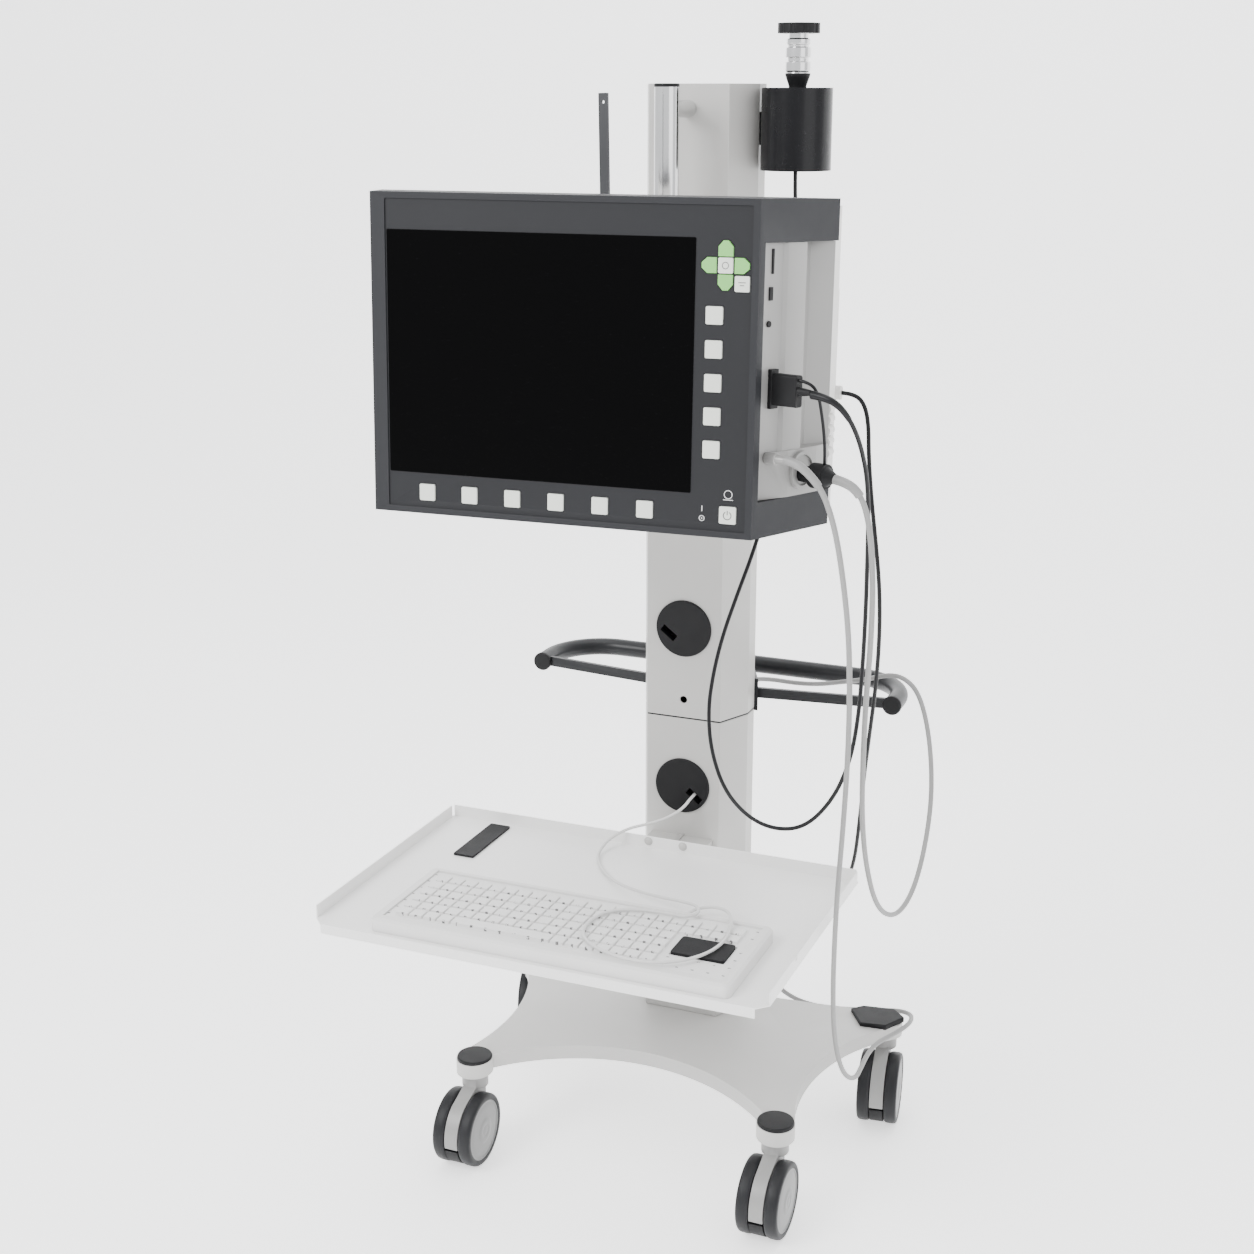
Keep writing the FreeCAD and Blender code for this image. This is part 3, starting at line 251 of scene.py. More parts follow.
# %% Chrome
def chrome():
    """Polished metal with smears, and fine rubbing drawn out along the upright tube."""
    finish = Finish("chrome")
    stretched = {"Vector": finish.place, "Scale": (1, 1, 0.05)}
    rubbed = finish.noise(260.0, 3.0, at=finish.node("ShaderNodeMapping", {}, stretched))
    smears = finish.noise(14.0, 4.0)
    finish.set(Metallic=1.0, Base_Color=finish.blend(smears, grey(0.62), grey(0.74)))
    return finish.set(Roughness=(0.07 + smears * 0.10 + rubbed * 0.05).limited())


# %% Front foil
def foil():
    """A dark printed film with a very fine weave."""
    finish = Finish("front_foil")
    weave = finish.noise(2600.0, 1.0)
    clouds = finish.noise(7.0, 3.0)
    colour = finish.blend(clouds, (0.010, 0.0103, 0.012, 1), (0.013, 0.0134, 0.0155, 1))
    finish.set(Base_Color=colour, Roughness=0.46 + clouds * 0.08, Specular_IOR_Level=0.25)
    return finish.set(Normal=finish.bump(weave, 0.00008))


# %% Screen glass
def screen_glass():
    """Black glass with a faint mirror, duller where dust lies."""
    finish = Finish("screen_glass")
    dust = finish.noise(420.0, 2.0)
    finish.set(Base_Color=(0.0004, 0.0004, 0.0005, 1), Specular_IOR_Level=0.06)
    return finish.set(Roughness=0.12 + (dust > 0.66) * 0.12)


FINISHES["chrome"] = chrome()
FINISHES["front_foil"] = foil()
FINISHES["screen_glass"] = screen_glass()
print("finishes with chrome, foil and glass:", len(FINISHES))

# %% [markdown]
# ## Making pieces
# Every new piece is built as a bmesh, which is a mesh that can be edited freely. One
# helper turns it into an object: its faces are shaded smooth, edges sharper than the
# angle below stay crisp, and the piece is told which moving body it rides on.

# %% From a bmesh to a riding piece
SHARP_ANGLE = math.radians(32)


def add_piece(name, shape, finishes, body, nodes=()):
    """Turn a bmesh into an object that rides on a CAD body and may replace CAD parts."""
    mesh = bpy.data.meshes.new(name)
    for face in shape.faces:
        face.smooth = True
    shape.to_mesh(mesh)
    shape.free()
    mesh.set_sharp_from_angle(angle=SHARP_ANGLE)
    for finish in finishes:
        mesh.materials.append(FINISHES[finish])
    piece = bpy.data.objects.new(name, mesh)
    bpy.context.scene.collection.objects.link(piece)
    if nodes:
        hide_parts(*nodes)
    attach(piece, body)
    return piece


# %% [markdown]
# ## Cords
# Each cord hangs on one smooth NURBS curve through the air. The points are the same
# ones that its CAD tube goes by. Two black cords and two grey ones leave the screen
# unit's right side, and a limp white one joins the keyboard to the column.

# %% Cord routes
ROUTES = {
    "handset_cable": [
        (0.2953, -0.2659, 1.1036), (0.3113, -0.272, 1.1028), (0.3273, -0.272, 1.095),
        (0.3383, -0.258, 1.074), (0.3423, -0.234, 1.044), (0.3413, -0.202, 1.004),
        (0.3373, -0.178, 0.957), (0.3343, -0.164, 0.906), (0.3323, -0.155, 0.842),
        (0.3293, -0.148, 0.777), (0.3253, -0.143, 0.712), (0.3163, -0.139, 0.654),
        (0.2963, -0.136, 0.602), (0.2613, -0.128, 0.558), (0.2193, -0.114, 0.542),
        (0.1773, -0.098, 0.546), (0.1393, -0.08, 0.57), (0.1153, -0.064, 0.614),
        (0.1053, -0.049, 0.662), (0.1083, -0.039, 0.709), (0.1163, -0.029, 0.755),
        (0.1293, -0.019, 0.802), (0.1463, -0.002, 0.862), (0.1563, 0.028, 0.925),
        (0.1603, 0.062, 0.99), (0.1593, 0.098, 1.055), (0.1543, 0.128, 1.12),
        (0.1473, 0.146, 1.186), (0.1413, 0.153, 1.248), (0.1383, 0.154, 1.29),
        (0.1383, 0.154, 1.3139)],
    "rear_cable": [
        (0.2775, -0.091, 1.0791), (0.2923, -0.09, 1.0785), (0.3043, -0.09, 1.068),
        (0.3103, -0.091, 1.045), (0.3123, -0.093, 1.008), (0.3183, -0.094, 0.955),
        (0.3253, -0.094, 0.906), (0.3313, -0.092, 0.852), (0.3313, -0.084, 0.789),
        (0.3253, -0.07, 0.724), (0.3153, -0.05, 0.663), (0.3023, -0.021, 0.592),
        (0.2903, 0.01, 0.512), (0.2753, 0.048, 0.442), (0.2513, 0.096, 0.388),
        (0.2193, 0.146, 0.348), (0.1793, 0.192, 0.32), (0.1353, 0.222, 0.304),
        (0.1053, 0.2204, 0.3), (0.0777, 0.208, 0.3)],
    "grey_cable": [
        (0.2671, -0.2636, 1.0316), (0.2803, -0.2685, 1.0304), (0.2943, -0.269, 1.021),
        (0.3063, -0.262, 1.004), (0.3143, -0.251, 0.978), (0.3203, -0.239, 0.942),
        (0.3253, -0.224, 0.888), (0.3283, -0.207, 0.824), (0.3263, -0.187, 0.744),
        (0.3193, -0.162, 0.655), (0.3103, -0.139, 0.566), (0.2993, -0.114, 0.476),
        (0.2903, -0.087, 0.388), (0.2833, -0.061, 0.308), (0.2793, -0.035, 0.238),
        (0.2803, -0.008, 0.18), (0.2843, 0.018, 0.146), (0.2893, 0.046, 0.131),
        (0.2883, 0.076, 0.131), (0.2883, 0.106, 0.135), (0.2923, 0.133, 0.138),
        (0.3043, 0.159, 0.139), (0.3183, 0.185, 0.141), (0.3243, 0.21, 0.142),
        (0.3183, 0.233, 0.14), (0.2973, 0.245, 0.136), (0.2673, 0.243, 0.131),
        (0.2303, 0.237, 0.128), (0.1933, 0.231, 0.126), (0.1563, 0.228, 0.129),
        (0.1223, 0.236, 0.137), (0.0943, 0.254, 0.152), (0.0753, 0.274, 0.175),
        (0.0663, 0.286, 0.205), (0.0633, 0.287, 0.238), (0.0633, 0.269, 0.267),
        (0.0633, 0.233, 0.272)],
    "light_cable": [
        (0.3109, -0.2232, 1.0066), (0.3253, -0.228, 1.005), (0.3393, -0.228, 0.995),
        (0.3473, -0.223, 0.974), (0.3513, -0.214, 0.938), (0.3523, -0.203, 0.885),
        (0.3483, -0.188, 0.816), (0.3393, -0.166, 0.74), (0.3323, -0.142, 0.663),
        (0.3253, -0.112, 0.58), (0.3223, -0.074, 0.499), (0.3263, -0.028, 0.421),
        (0.3393, 0.012, 0.391), (0.3503, 0.052, 0.402), (0.3543, 0.096, 0.439),
        (0.3513, 0.146, 0.494), (0.3403, 0.186, 0.541), (0.3253, 0.214, 0.588),
        (0.3063, 0.233, 0.625), (0.2833, 0.244, 0.639), (0.2593, 0.252, 0.638),
        (0.2293, 0.261, 0.625), (0.1913, 0.268, 0.614), (0.1533, 0.273, 0.604),
        (0.1173, 0.278, 0.6), (0.0853, 0.276, 0.602), (0.0633, 0.26, 0.605),
        (0.0573, 0.2375, 0.606)],
    "keyboard_cable": [
        (0.0313, 0.112, 0.48), (0.0308, 0.094, 0.48), (0.0243, 0.079, 0.468),
        (0.0053, 0.068, 0.455), (-0.0187, 0.056, 0.447), (-0.0407, 0.042, 0.443),
        (-0.0587, 0.022, 0.434), (-0.0647, 0, 0.425), (-0.0587, -0.024, 0.4214),
        (-0.0407, -0.052, 0.4214), (-0.0127, -0.083, 0.423), (0.0253, -0.11, 0.428),
        (0.0693, -0.132, 0.435), (0.1113, -0.146, 0.441), (0.1343, -0.155, 0.443),
        (0.1423, -0.173, 0.442), (0.1293, -0.187, 0.4414), (0.1073, -0.185, 0.4414),
        (0.0713, -0.188, 0.4414), (0.0433, -0.2, 0.4414), (0.0293, -0.222, 0.4414),
        (0.0253, -0.252, 0.4414), (0.0333, -0.282, 0.4414), (0.0593, -0.305, 0.4414),
        (0.0973, -0.318, 0.4414), (0.1353, -0.317, 0.4414), (0.1633, -0.303, 0.4414),
        (0.1843, -0.278, 0.4414), (0.1953, -0.246, 0.4414), (0.1943, -0.212, 0.4414),
        (0.1873, -0.179, 0.442), (0.1733, -0.152, 0.441), (0.1553, -0.137, 0.437),
        (0.1353, -0.132, 0.432), (0.1203, -0.142, 0.429), (0.1193, -0.1619, 0.429)],
    "tether": [
        (0.2796, -0.2603, 1.117), (0.2933, -0.263, 1.1155), (0.2993, -0.255, 1.102),
        (0.3003, -0.247, 1.084), (0.3013, -0.239, 1.062), (0.3003, -0.229, 1.04),
        (0.2973, -0.2185, 1.0216)],
}
print("cords:", ", ".join(ROUTES))


# %% Curves along the routes
SECTION_STEPS = 5
STEPS_PER_POINT = 10
CURVE_ORDER = 3


def cord_curve(name, points, diameter, finish):
    """A smooth cord with an even round section."""
    curve = bpy.data.curves.new(name, "CURVE")
    curve.dimensions = "3D"
    curve.bevel_depth = diameter / 2
    curve.bevel_resolution = SECTION_STEPS
    curve.resolution_u = STEPS_PER_POINT
    spline = curve.splines.new("NURBS")
    spline.points.add(len(points) - 1)
    for place, point in zip(points, spline.points):
        point.co = (*place, 1.0)
    spline.order_u = CURVE_ORDER
    spline.use_endpoint_u = True
    curve.use_fill_caps = True
    curve.materials.append(FINISHES[finish])
    cord = bpy.data.objects.new(name, curve)
    bpy.context.scene.collection.objects.link(cord)
    return cord


# %% [markdown]
# A cord that crosses the tilt joint has to bend with it, and only a mesh can do that.
# So those four curves are turned into tubes, though nothing here sets them to bend,
# and the curve's bare line is kept as the path that a strain boot follows.

# %% Tubes for the cords that cross the tilt
MERGE_DISTANCE = 0.00001


def evaluated_mesh(cord):
    """The mesh that a curve makes."""
    graph = bpy.context.evaluated_depsgraph_get()
    return bpy.data.meshes.new_from_object(cord.evaluated_get(graph))


def bending_cord(cord, start, end):
    """The cord as a mesh tube, and its path."""
    name = cord.name
    tube_mesh = evaluated_mesh(cord)
    cord.data.bevel_depth = 0.0
    line = evaluated_mesh(cord)
    path = [tuple(vertex.co) for vertex in line.vertices]
    bpy.data.objects.remove(cord)
    shape = bmesh.new()
    shape.from_mesh(tube_mesh)
    bmesh.ops.remove_doubles(shape, verts=shape.verts, dist=MERGE_DISTANCE)
    bmesh.ops.recalc_face_normals(shape, faces=shape.faces)
    shape.to_mesh(tube_mesh)
    shape.free()
    tube = bpy.data.objects.new(name, tube_mesh)
    bpy.context.scene.collection.objects.link(tube)
    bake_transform(tube)
    return tube, path


# %% [markdown]
# Where a cord leaves its plug, a thicker tapered boot keeps it from kinking. The boot
# follows the same line as its cord, ring by ring, and gets thinner along it.

# %% Strain boots
RING_STEPS = 20
# Radius at the plug, radius at the thin end, and length, in metres.
BOOTS = {
    "handset_cable": (0.0046, 0.0029, 0.055),
    "grey_cable": (0.0050, 0.0044, 0.050),
    "light_cable": (0.0056, 0.0050, 0.036),
}


def strain_boot(name, path, finish):
    """A tapered tube round the first stretch of a cord, riding with its plug."""
    start_radius, end_radius, length = BOOTS[name]
    line = [Vector(point) for point in path]
    shape = bmesh.new()
    rings = []
    gone = 0.0
    side = (line[1] - line[0]).orthogonal().normalized()
    for here, ahead in zip(line, line[1:]):
        along = (ahead - here).normalized()
        side = (side - along * side.dot(along)).normalized()
        up = along.cross(side)
        part = min(gone / length, 1.0)
        radius = start_radius + (end_radius - start_radius) * part
        ring = [shape.verts.new(here + (side * math.cos(math.tau * step / RING_STEPS)
                                        + up * math.sin(math.tau * step / RING_STEPS)) * radius)
                for step in range(RING_STEPS)]
        rings.append(ring)
        gone += (ahead - here).length
        if gone > length:
            break
    for first, second in zip(rings, rings[1:]):
        for step in range(RING_STEPS):
            after = (step + 1) % RING_STEPS
            shape.faces.new((first[step], first[after], second[after], second[step]))
    shape.faces.new(list(reversed(rings[0])))
    shape.faces.new(rings[-1])
    bmesh.ops.recalc_face_normals(shape, faces=shape.faces)
    return add_piece(name + "_boot", shape, [finish], "screen_unit")


# %% Every cord
# Where a cord starts to leave the screen unit's motion, and where it is quite still.
SIDE_BEND = ((0.3, -0.27, 1.1), (0.3, -0.1, 1.0))
REAR_BEND = ((0.28, -0.09, 1.08), (0.31, -0.09, 0.9))
# Diameter, length, finish, slot, and the body that it rides on or the way that it bends.
CORDS = {
    "handset_cable": (0.005, 1.560, "cord_black", "cable_black", SIDE_BEND),
    "rear_cable": (0.005, 1.017, "cord_black", "cable_black", REAR_BEND),
    "grey_cable": (0.0065, 1.594, "cord_grey", "cable_grey", SIDE_BEND),
    "light_cable": (0.0065, 1.317, "cord_grey", "cable_grey", SIDE_BEND),
    "keyboard_cable": (0.004, 1.029, "cord_white", "cable_white", "cart"),
    "tether": (0.0035, 0.118, "cord_black", "cable_black", "screen_unit"),
}


def add_cord(name, diameter, length, finish, slot, motion):
    route = ROUTES[name]
    cord = cord_curve(name + "_cord", route, diameter, finish)
    path = None
    if isinstance(motion, str):
        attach(cord, motion)
    else:
        cord, path = bending_cord(cord, *motion)
    if name in BOOTS:
        strain_boot(name, path, finish)
    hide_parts(name)
    print(name, "length", length)


for cord_name, facts in CORDS.items():
    add_cord(cord_name, *facts)

# %% [markdown]
# ## Soft edges
# Sheet metal and mouldings never have knife edges. `softened` copies a CAD part,
# joins its loose triangles back into faces, and rounds its sharp edges with a bevel,
# so that every edge catches a thin line of light.

# %% Soft edges on CAD parts
FLAT_ANGLE = math.radians(0.6)
EDGE_SEGMENTS = 2


def joined_copy(node):
    """The CAD part's triangles merged back into flat faces."""
    shape = bmesh.new()
    shape.from_mesh(frame["nodes"][node].data)
    bmesh.ops.remove_doubles(shape, verts=shape.verts, dist=MERGE_DISTANCE)
    bmesh.ops.dissolve_limit(shape, angle_limit=FLAT_ANGLE, verts=shape.verts,
                             edges=shape.edges)
    return shape


def round_edges(piece, width):
    """A bevel of the given width on every sharp edge."""
    edges = piece.modifiers.new("soft edges", "BEVEL")
    edges.width = width
    edges.segments = EDGE_SEGMENTS
    edges.limit_method = "ANGLE"
    edges.angle_limit = SHARP_ANGLE


def softened(node, width, finish, body):
    """A CAD part's copy with soft edges, in place of the part."""
    piece = add_piece(node + "_soft", joined_copy(node), [finish], body, [node])
    round_edges(piece, width)


# %% [markdown]
# Some pieces are turned, as on a lathe: half their outline is drawn beside an axis and
# spun once round it. Blender's spin tool does that on a bmesh.

# %% Turned pieces
TURN_STEPS = 64


def turned(profile, centre, axis):
    """Spin a profile of (along, radius) pairs a full turn about an axis through centre."""
    shape = bmesh.new()
    axis = Vector(axis).normalized()
    side = axis.orthogonal().normalized()
    verts = [shape.verts.new(Vector(centre) + axis * along + side * radius)
             for along, radius in profile]
    for first, second in zip(verts, verts[1:]):
        shape.edges.new((first, second))
    bmesh.ops.spin(shape, geom=shape.verts[:] + shape.edges[:], cent=centre, axis=axis,
                   angle=math.tau, steps=TURN_STEPS, use_merge=True, use_duplicate=False)
    bmesh.ops.remove_doubles(shape, verts=shape.verts, dist=MERGE_DISTANCE)
    bmesh.ops.recalc_face_normals(shape, faces=shape.faces)
    return shape


# %% [markdown]
# ## Painted metal
# Column, tray, base and handle keep their CAD shapes, with edges rounded as powder
# coat rounds them. The tray is the whitest part; the column and the base are greyer.

# %% Column, tray, base and handle
# Edge width in metres, finish and slot.
CART_PARTS = {
    "column_upper": (0.0012, "column_paint", "grey_paint"),
    "column_lower": (0.0012, "column_paint", "grey_paint"),
    "column_trim": (0.0003, "cap_plastic", "black_plastic"),
    "base_plate": (0.0012, "base_paint", "grey_paint"),
    "caster_caps": (0.0006, "cap_plastic", "black_plastic"),
    "tray": (0.0007, "tray_paint", "white_paint"),
    "tray_mount": (0.0006, "column_paint", "grey_paint"),
    "push_handle": (0.0008, "bow_paint", "black_paint"),
    "handle_caps": (0.0004, "cap_plastic", "black_plastic"),
    "screen_bracket": (0.0012, "column_paint", "grey_paint"),
    "cup_holder": (0.0007, "cup_plastic", "black_plastic"),
    "accessory_pad": (0.0005, "pad_black", "tyre"),
}
for node, (width, finish, slot) in CART_PARTS.items():
    softened(node, width, finish, "cart")
print("parts of the cart with soft edges:", len(CART_PARTS))

# %% [markdown]
# ## The screen unit
# One housing carries the black screen and two groups of keys. Its front is a dark
# film set a little below the rim. The unit stands turned and leaning on the column,
# so its details are placed in its own directions: right, back and up.

# %% The unit's own directions
UNIT_TURN = math.radians(2.75)
UNIT_LEAN = math.radians(2.4)
UNIT_ORIGIN = Vector((0.0139, -0.292, 1.125))
UNIT = (Matrix.Translation(UNIT_ORIGIN) @ Matrix.Rotation(UNIT_TURN, 4, "Z")
        @ Matrix.Rotation(-UNIT_LEAN, 4, "X"))
UNIT_INVERSE = UNIT.inverted()
FILM_DEPTH = 0.0015  # from the rim back to the film


def on_unit(right, back, up):
    """A place on the unit, in the frame."""
    return UNIT @ Vector((right, back, up))


def unit_direction(right, back, up):
    """A direction of the unit, in the frame."""
    return UNIT.to_3x3() @ Vector((right, back, up))


print("middle of the unit's front:", tuple(on_unit(0, 0, 0)))


# %% Housing with its film
FILM_TOLERANCE = 0.0002


def unit_housing():
    """The housing copy: faces at the bottom of the shallow front recess are film."""
    shape = joined_copy("unit_frame")
    for face in shape.faces:
        centre = UNIT_INVERSE @ face.calc_center_median()
        if abs(centre.y - FILM_DEPTH) < FILM_TOLERANCE:
            face.material_index = 1
    piece = add_piece("unit_housing", shape, ["case_plastic", "front_foil"], "screen_unit",
                      ["unit_frame"])
    round_edges(piece, 0.0006)


unit_housing()
softened("screen_glass", 0.0003, "screen_glass", "screen_unit")
softened("rear_housing", 0.0012, "rear_plastic", "screen_unit")
softened("side_panel", 0.0004, "silver_paint", "screen_unit")
print("housing, screen, rear shell and side panel made")

# %% [markdown]
# Three CAD parts hold pieces of two colours: the mount and its upright bar, the
# sockets and their bright ring, and the black plugs and the bright round one. Each
# face takes its finish from where it lies on the unit.

# %% Parts in two finishes
def two_finishes(node, finishes, choose, body, width):
    """A softened copy whose faces take the finish that `choose` gives for their centre."""
    shape = joined_copy(node)
    for face in shape.faces:
        face.material_index = int(choose(face.calc_center_median()))
    piece = add_piece(node + "_soft", shape, finishes, body, [node])
    round_edges(piece, width)
    print(node, "in", " and ".join(finishes))


def unit_height_of(point):
    """How far up the unit's own front a point of the frame lies."""
    return (UNIT_INVERSE @ point).z


BAR_FOOT = 0.0774
RING_LOW = -0.135
RING_HIGH = -0.085
two_finishes("unit_mount", ["column_paint", "bar_paint"],
             lambda point: unit_height_of(point) > BAR_FOOT, "screen_unit", 0.0004)
two_finishes("side_sockets", ["cap_plastic", "silver_paint"],
             lambda point: RING_LOW < unit_height_of(point) < RING_HIGH,
             "screen_unit", 0.0003)


# %% Plugs
PLUG_LOW = -0.101
PLUG_HIGH = -0.06
PLUG_BACK = 0.052


def on_round_plug(point):
    """True for faces of the plug that stands nearest to the front, below the video plug."""
    place = UNIT_INVERSE @ point
    return PLUG_LOW < place.z < PLUG_HIGH and place.y < PLUG_BACK


two_finishes("cable_plugs", ["cap_plastic", "silver_paint"], on_round_plug, "screen_unit",
             0.0005)

# %% [markdown]
# ## Small printed marks
# Real panels carry symbols. These are plain generic ones: thin flat plates a tenth of
# a millimetre thick, laid on the film, so they follow the unit without any picture.

# %% Thin plates in any outline
MARK_THICK = 0.00012


def flat_mark(name, outline, surface, finish, body):
    """A thin plate with the given outline (right, up), its front just before a surface."""
    shape = bmesh.new()
    rear = [shape.verts.new(on_unit(right, surface, up)) for right, up in outline]
    face = shape.faces.new(rear)
    moved = bmesh.ops.extrude_face_region(shape, geom=[face])["geom"]
    front = [item for item in moved if isinstance(item, bmesh.types.BMVert)]
    bmesh.ops.translate(shape, verts=front, vec=unit_direction(0, -MARK_THICK, 0))
    bmesh.ops.recalc_face_normals(shape, faces=shape.faces)
    add_piece(name, shape, [finish], body)


# %% Bars and rings
RING_POINTS = 32
LEAST_GAP = 0.02


def bar_outline(right, up, half_width, half_height):
    """The four corners of an upright or level bar round its middle."""
    return [(right - half_width, up - half_height), (right + half_width, up - half_height),
            (right + half_width, up + half_height), (right - half_width, up + half_height)]


def ring_outline(right, up, inner, outer, gap=LEAST_GAP):
    """An open ring as one outline: round the outside, then back round the inside."""
    angles = [math.pi / 2 + gap + (math.tau - 2 * gap) * index / RING_POINTS
              for index in range(RING_POINTS + 1)]
    around = [(right + outer * math.cos(a), up + outer * math.sin(a)) for a in angles]
    back = [(right + inner * math.cos(a), up + inner * math.sin(a)) for a in reversed(angles)]
    return around + back


# %% [markdown]
# The panel's symbols: a power mark on its key, a ring on the middle key of the arrows
# and two bars on the key below them. On the film, a bar and a dotted ring stand for
# on and off, with a ring over a bar above the power key.

# %% Which marks
KEY_TOP = -0.0001
INK_HALF = 0.0004


def panel_mark(name, outline):
    """A pale mark on the film."""
    flat_mark(name, outline, FILM_DEPTH, "print_pale", "screen_unit")


def key_mark(name, outline, key):
    """A dark mark on a key's face, which moves with the key."""
    flat_mark(name, outline, KEY_TOP, "print_dark", key)


key_mark("power_ring", ring_outline(0.1974, -0.1537, 0.0038, 0.0048, 0.5), "key_power")
key_mark("power_bar", bar_outline(0.1974, -0.1507, 0.0005, 0.0024), "key_power")
key_mark("confirm_ring", ring_outline(0.188, 0.110, 0.0030, 0.0038), "key_confirm")
key_mark("lower_top", bar_outline(0.2065, 0.0930, 0.0040, INK_HALF), "key_lower")
key_mark("lower_end", bar_outline(0.2065, 0.0900, 0.0024, INK_HALF), "key_lower")
panel_mark("on_bar", bar_outline(0.1683, -0.1480, 0.0005, 0.0030))
panel_mark("off_ring", ring_outline(0.1683, -0.1586, 0.0024, 0.0032))
panel_mark("off_dot", bar_outline(0.1683, -0.1586, 0.0007, 0.0007))
panel_mark("arch_ring", ring_outline(0.1974, -0.1310, 0.0040, 0.0048))
panel_mark("arch_base", bar_outline(0.1974, -0.1368, 0.0056, INK_HALF))
print("marks laid on the keys and the film")

# %% [markdown]
# ## Keys
# Every key is its own CAD part that presses in. They keep their shapes, and get the
# pale or green plastic of the membrane keys.

# %% [markdown]
# An arrow key narrows to a blunt point, but its well is square. Two small triangles
# of film fill the corners that the point leaves open.

# %% Film round the pointed keys
KEY_CLEARANCE = 0.00045
ARROW_HALF = 0.00825
WELL_OVERLAP = 0.0006
SLANT_START = 0.25
POINT_HALF = 0.35
ARROW_PLACES = {"up": (0.188, 0.1275), "down": (0.188, 0.0925), "left": (0.170, 0.110),
                "right": (0.206, 0.110)}
ARROW_TURNS = {"up": 0, "left": 90, "down": 180, "right": 270}


def corner_film(direction, side):
    """The bit of film beside an arrow key's slanted end, over the well's square corner."""
    outer = ARROW_HALF + WELL_OVERLAP
    low = (side * outer, ARROW_HALF * SLANT_START + KEY_CLEARANCE)
    corner = (side * outer, outer)
    top = (side * (ARROW_HALF * POINT_HALF + KEY_CLEARANCE), outer)
    angle = math.radians(ARROW_TURNS[direction])
    middle_right, middle_up = ARROW_PLACES[direction]
    outline = [(middle_right + x * math.cos(angle) - y * math.sin(angle),
                middle_up + x * math.sin(angle) + y * math.cos(angle))
               for x, y in (low, corner, top)]
    which = "near" if side < 0 else "far"
    flat_mark(f"film_{direction}_{which}", outline, FILM_DEPTH, "front_foil",
              "screen_unit")


for arrow in ARROW_PLACES:
    corner_film(arrow, -1)
    corner_film(arrow, 1)
print("film corners:", 2 * len(ARROW_PLACES))

# %% Key finishes
KEY_EDGE = 0.0003
GREEN_KEYS = ["key_arrow_" + arrow for arrow in ARROW_PLACES]
WHITE_KEYS = ([f"key_row_{index}" for index in range(1, 7)]
              + [f"key_column_{index}" for index in range(1, 6)]
              + ["key_confirm", "key_lower", "key_power"])
for key in GREEN_KEYS:
    softened(key, KEY_EDGE, "key_green", key)
for key in WHITE_KEYS:
    softened(key, KEY_EDGE, "key_white", key)
print("keys:", len(GREEN_KEYS), "green and", len(WHITE_KEYS), "white")

# %% [markdown]
# ## Keyboard
# The keyboard is a thin pale slab. Its caps stand on one mat, as on a sealed medical
# keyboard. Tiny grey dashes stand for the printing: the finish repeats one dash per
# key pitch, so it needs no picture and no letters.

# %% Keyboard finishes
KEY_PITCH_X = 0.01905
KEY_PITCH_Y = 0.0205
KEYS_LEFT = -0.221
KEYS_FRONT = -0.410
DASH_RIGHT = 0.0032
DASH_UP = 0.0042
DASH_HALF_WIDTH = 0.0018
DASH_HALF_HEIGHT = 0.0011


def keycap_finish():
    """Pale plastic with one dash per key pitch, broken up by noise."""
    finish = Finish("keycap_plastic")
    along, across, _ = finish.axes()
    column = (along - KEYS_LEFT) % KEY_PITCH_X
    row = (across - KEYS_FRONT) % KEY_PITCH_Y
    dash_wide = abs(column - DASH_RIGHT) < DASH_HALF_WIDTH
    dash_high = abs(row - DASH_UP) < DASH_HALF_HEIGHT
    uneven = finish.noise(310.0, 0.0) > 0.46
    dash = dash_wide * dash_high * uneven
    clouds = finish.noise(12.0, 2.0)
    cap = finish.blend(clouds, grey(0.70, 0.02), grey(0.76, 0.02))
    colour = finish.blend(dash, cap, grey(0.12, 0.02))
    finish.set(Base_Color=colour, Roughness=0.46 + clouds * 0.06)
    grain = finish.noise(1500.0, 2.0)
    return finish.set(Normal=finish.bump(grain, 0.00005))


FINISHES["keycap_plastic"] = keycap_finish()
softened("keyboard_case", 0.0009, "keyboard_shell", "cart")
softened("keyboard_keys", 0.0004, "keycap_plastic", "cart")
softened("keyboard_touchpad", 0.0003, "pad_black", "cart")
print("keyboard case, keys and touchpad made")

# %% [markdown]
# ## Chrome tube and camera head
# The tube and the bright rings of the head are turned parts, so their CAD shape is
# already right. Only the finish changes along their length: the tube ends in a black
# cap, and the head goes from black cone to bright rings to black knob.

# %% Tube
CAP_BOTTOM = 1.4135
two_finishes("mount_rail", ["chrome", "cap_plastic"],
             lambda point: point.z > CAP_BOTTOM, "cart", 0.0004)

# %% Camera head
RINGS_BOTTOM = 1.430
RINGS_TOP = 1.4765
two_finishes("camera_head", ["cap_plastic", "chrome"],
             lambda point: RINGS_BOTTOM < point.z < RINGS_TOP, "cart", 0.0004)

# %% [markdown]
# ## Casters
# A twin-wheel caster has a rubber tread moulded on a plastic wheel. Both are turned
# parts, spun here from their profiles and placed on the CAD wheel's own axle, so they
# roll with it. The housing between the wheels keeps its CAD shape.

# %% Wheel profiles
WHEEL_RADIUS = 0.050
RIM_RADIUS = WHEEL_RADIUS - 0.009
RIM_COVER = 0.0003  # how far the hub reaches up inside the tyre
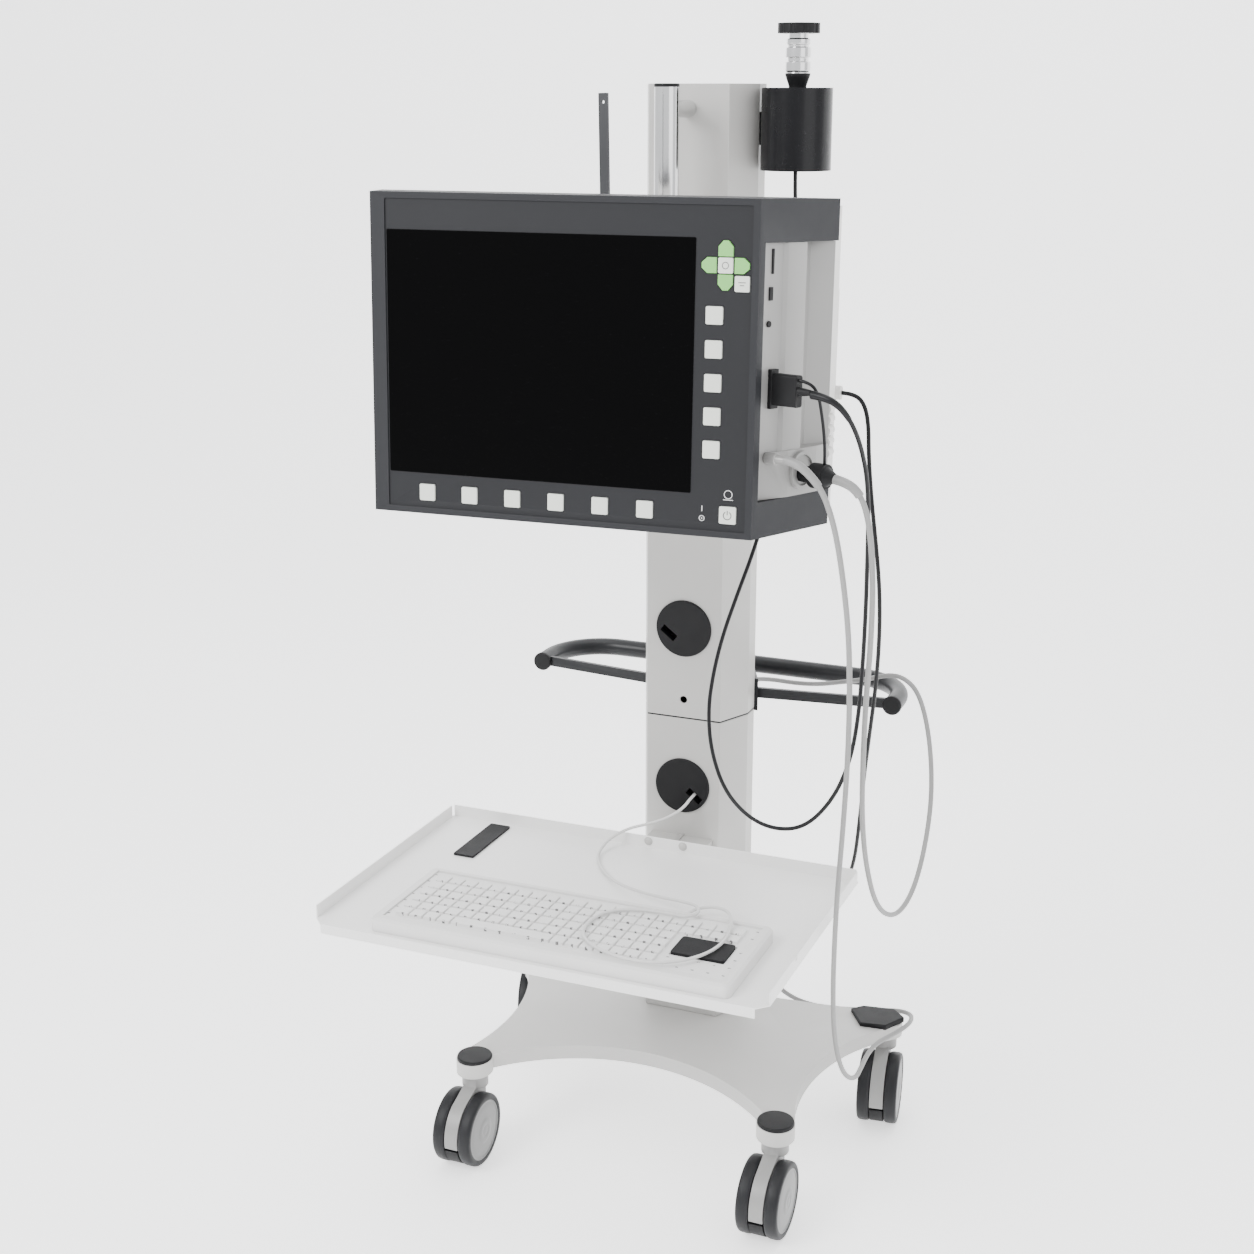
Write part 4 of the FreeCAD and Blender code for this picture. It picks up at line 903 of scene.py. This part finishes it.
# Outlines as (distance from the caster's middle along the axle, radius).
TYRE_PROFILE = [
    (0.0102, RIM_RADIUS), (0.0102, 0.0465), (0.0108, 0.0482), (0.0122, 0.0493),
    (0.0150, 0.0499), (0.0190, WHEEL_RADIUS), (0.0230, 0.0499), (0.0258, 0.0492),
    (0.0272, 0.0478), (0.0278, 0.0458), (0.0278, 0.0425), (0.0272, RIM_RADIUS),
]
HUB_PROFILE = [
    (0.0106, 0.0070), (0.0106, RIM_RADIUS + RIM_COVER),
    (0.0270, RIM_RADIUS + RIM_COVER), (0.0270, 0.0395), (0.0262, 0.0385),
    (0.0262, 0.0365), (0.0268, 0.0350), (0.0274, 0.0290), (0.0278, 0.0200), (0.0283, 0.0165),
    (0.0289, 0.0155), (0.0289, 0.0080), (0.0285, 0.0070),
]
CAP_PROFILE = [(0.0262, 0.0), (0.0262, 0.0078), (0.0284, 0.0078), (0.0287, 0.0070), (0.0287, 0.0)]


# %% Wheels on their axles
CASTERS = ["front_left", "front_right", "rear_left", "rear_right"]


def half_turned(profile, centre, axis, side):
    """One wheel's turned piece, on the left (-1) or right (1) of the caster's middle."""
    mirrored = [(side * along, radius) for along, radius in profile]
    return turned(mirrored, centre, axis)


def add_wheels(caster):
    """Tyres, hubs and axle caps of one caster, in place of its CAD wheel pair."""
    node = f"caster_{caster}_wheels"
    body = caster + "_wheels"
    roll = next(joint for joint in frame["joints"] if joint["name"] == caster + "_roll")
    centre = Vector(roll["pos_m"])
    axis = Vector(roll["axis"])
    for side, which in ((-1, "left"), (1, "right")):
        name = f"{caster}_{which}"
        tyre = half_turned(TYRE_PROFILE + TYRE_PROFILE[:1], centre, axis, side)
        add_piece(name + "_tyre", tyre, ["tyre_rubber"], body, [node])
        hub = half_turned(HUB_PROFILE + HUB_PROFILE[:1], centre, axis, side)
        add_piece(name + "_hub", hub, ["hub_plastic"], body)
        cap = half_turned(CAP_PROFILE, centre, axis, side)
        add_piece(name + "_axle_cap", cap, ["hub_plastic"], body)
    print(caster, "wheels on their axle at", tuple(centre))


for caster in CASTERS:
    add_wheels(caster)
    softened(f"caster_{caster}_housing", 0.0007, "caster_grey", caster + "_swivel")
    softened(f"caster_{caster}_pedal", 0.0006, "cap_plastic", caster + "_pedal")

# %% [markdown]
# ## Floor and light
# The cart stands on a plain pale floor that curves up into a wall, so no line shows
# behind it. The sheet glows a little, as paper lit from behind does. One large soft
# light stands to the left and in front, a weaker one fills from the right, a third
# hangs above, and a bright even world gives the chrome something pale to mirror.

# %% Floor that curves up into a wall
FLOOR_FRONT = -6.0
WALL_PLACE = 3.2
COVE_RADIUS = 1.6
WALL_HEIGHT = 5.0
STAGE_HALF_WIDTH = 7.0
COVE_STEPS = 24
STAGE_GLOW = 1.1


def pale_stage():
    """One smooth sheet: a level floor, a rounded cove and a wall, all one pale colour."""
    finish = Finish("stage")
    clouds = finish.noise(2.0, 2.0)
    finish.set(Base_Color=finish.blend(clouds, grey(0.89), grey(0.91)), Roughness=0.9,
               Emission_Color=(1.0, 1.0, 1.0, 1.0), Emission_Strength=STAGE_GLOW)
    profile = [(FLOOR_FRONT, 0.0)]
    for step in range(COVE_STEPS + 1):
        angle = math.pi / 2 * step / COVE_STEPS
        profile.append((WALL_PLACE - COVE_RADIUS + COVE_RADIUS * math.sin(angle),
                        COVE_RADIUS - COVE_RADIUS * math.cos(angle)))
    profile.append((WALL_PLACE, WALL_HEIGHT))
    shape = bmesh.new()
    rows = [[shape.verts.new((side * STAGE_HALF_WIDTH, y, z)) for side in (-1, 1)]
            for y, z in profile]
    for (left, right), (next_left, next_right) in zip(rows, rows[1:]):
        shape.faces.new((left, right, next_right, next_left)).smooth = True
    mesh = bpy.data.meshes.new("stage")
    shape.to_mesh(mesh)
    shape.free()
    mesh.materials.append(finish.material)
    sheet = bpy.data.objects.new("stage", mesh)
    bpy.context.scene.collection.objects.link(sheet)
    print("stage rows:", len(rows))


pale_stage()


# %% Lights
MIDDLE = Vector((0.0, 0.0, 0.75))


def soft_light(name, place, size, power):
    """A square soft light that looks at the middle of the cart."""
    data = bpy.data.lights.new(name, "AREA")
    data.shape = "SQUARE"
    data.size = size
    data.energy = power
    light = bpy.data.objects.new(name, data)
    light.location = place
    direction = MIDDLE - Vector(place)
    light.rotation_euler = direction.to_track_quat("-Z", "Y").to_euler()
    bpy.context.scene.collection.objects.link(light)


soft_light("key light", (-1.5, -2.6, 2.8), 1.6, 120)
soft_light("fill light", (2.4, -1.2, 1.9), 2.0, 20)
soft_light("top light", (0.0, 0.3, 3.6), 2.6, 60)

# %% A bright even world
WORLD_COLOUR = (0.97, 0.98, 1.0, 1.0)
WORLD_STRENGTH = 1.35

world = bpy.data.worlds.new("world")
world.use_nodes = True
background = world.node_tree.nodes["Background"]
background.inputs["Color"].default_value = WORLD_COLOUR
background.inputs["Strength"].default_value = WORLD_STRENGTH
bpy.context.scene.world = world
print("lights:", len(bpy.data.lights), "and a world of strength", WORLD_STRENGTH)
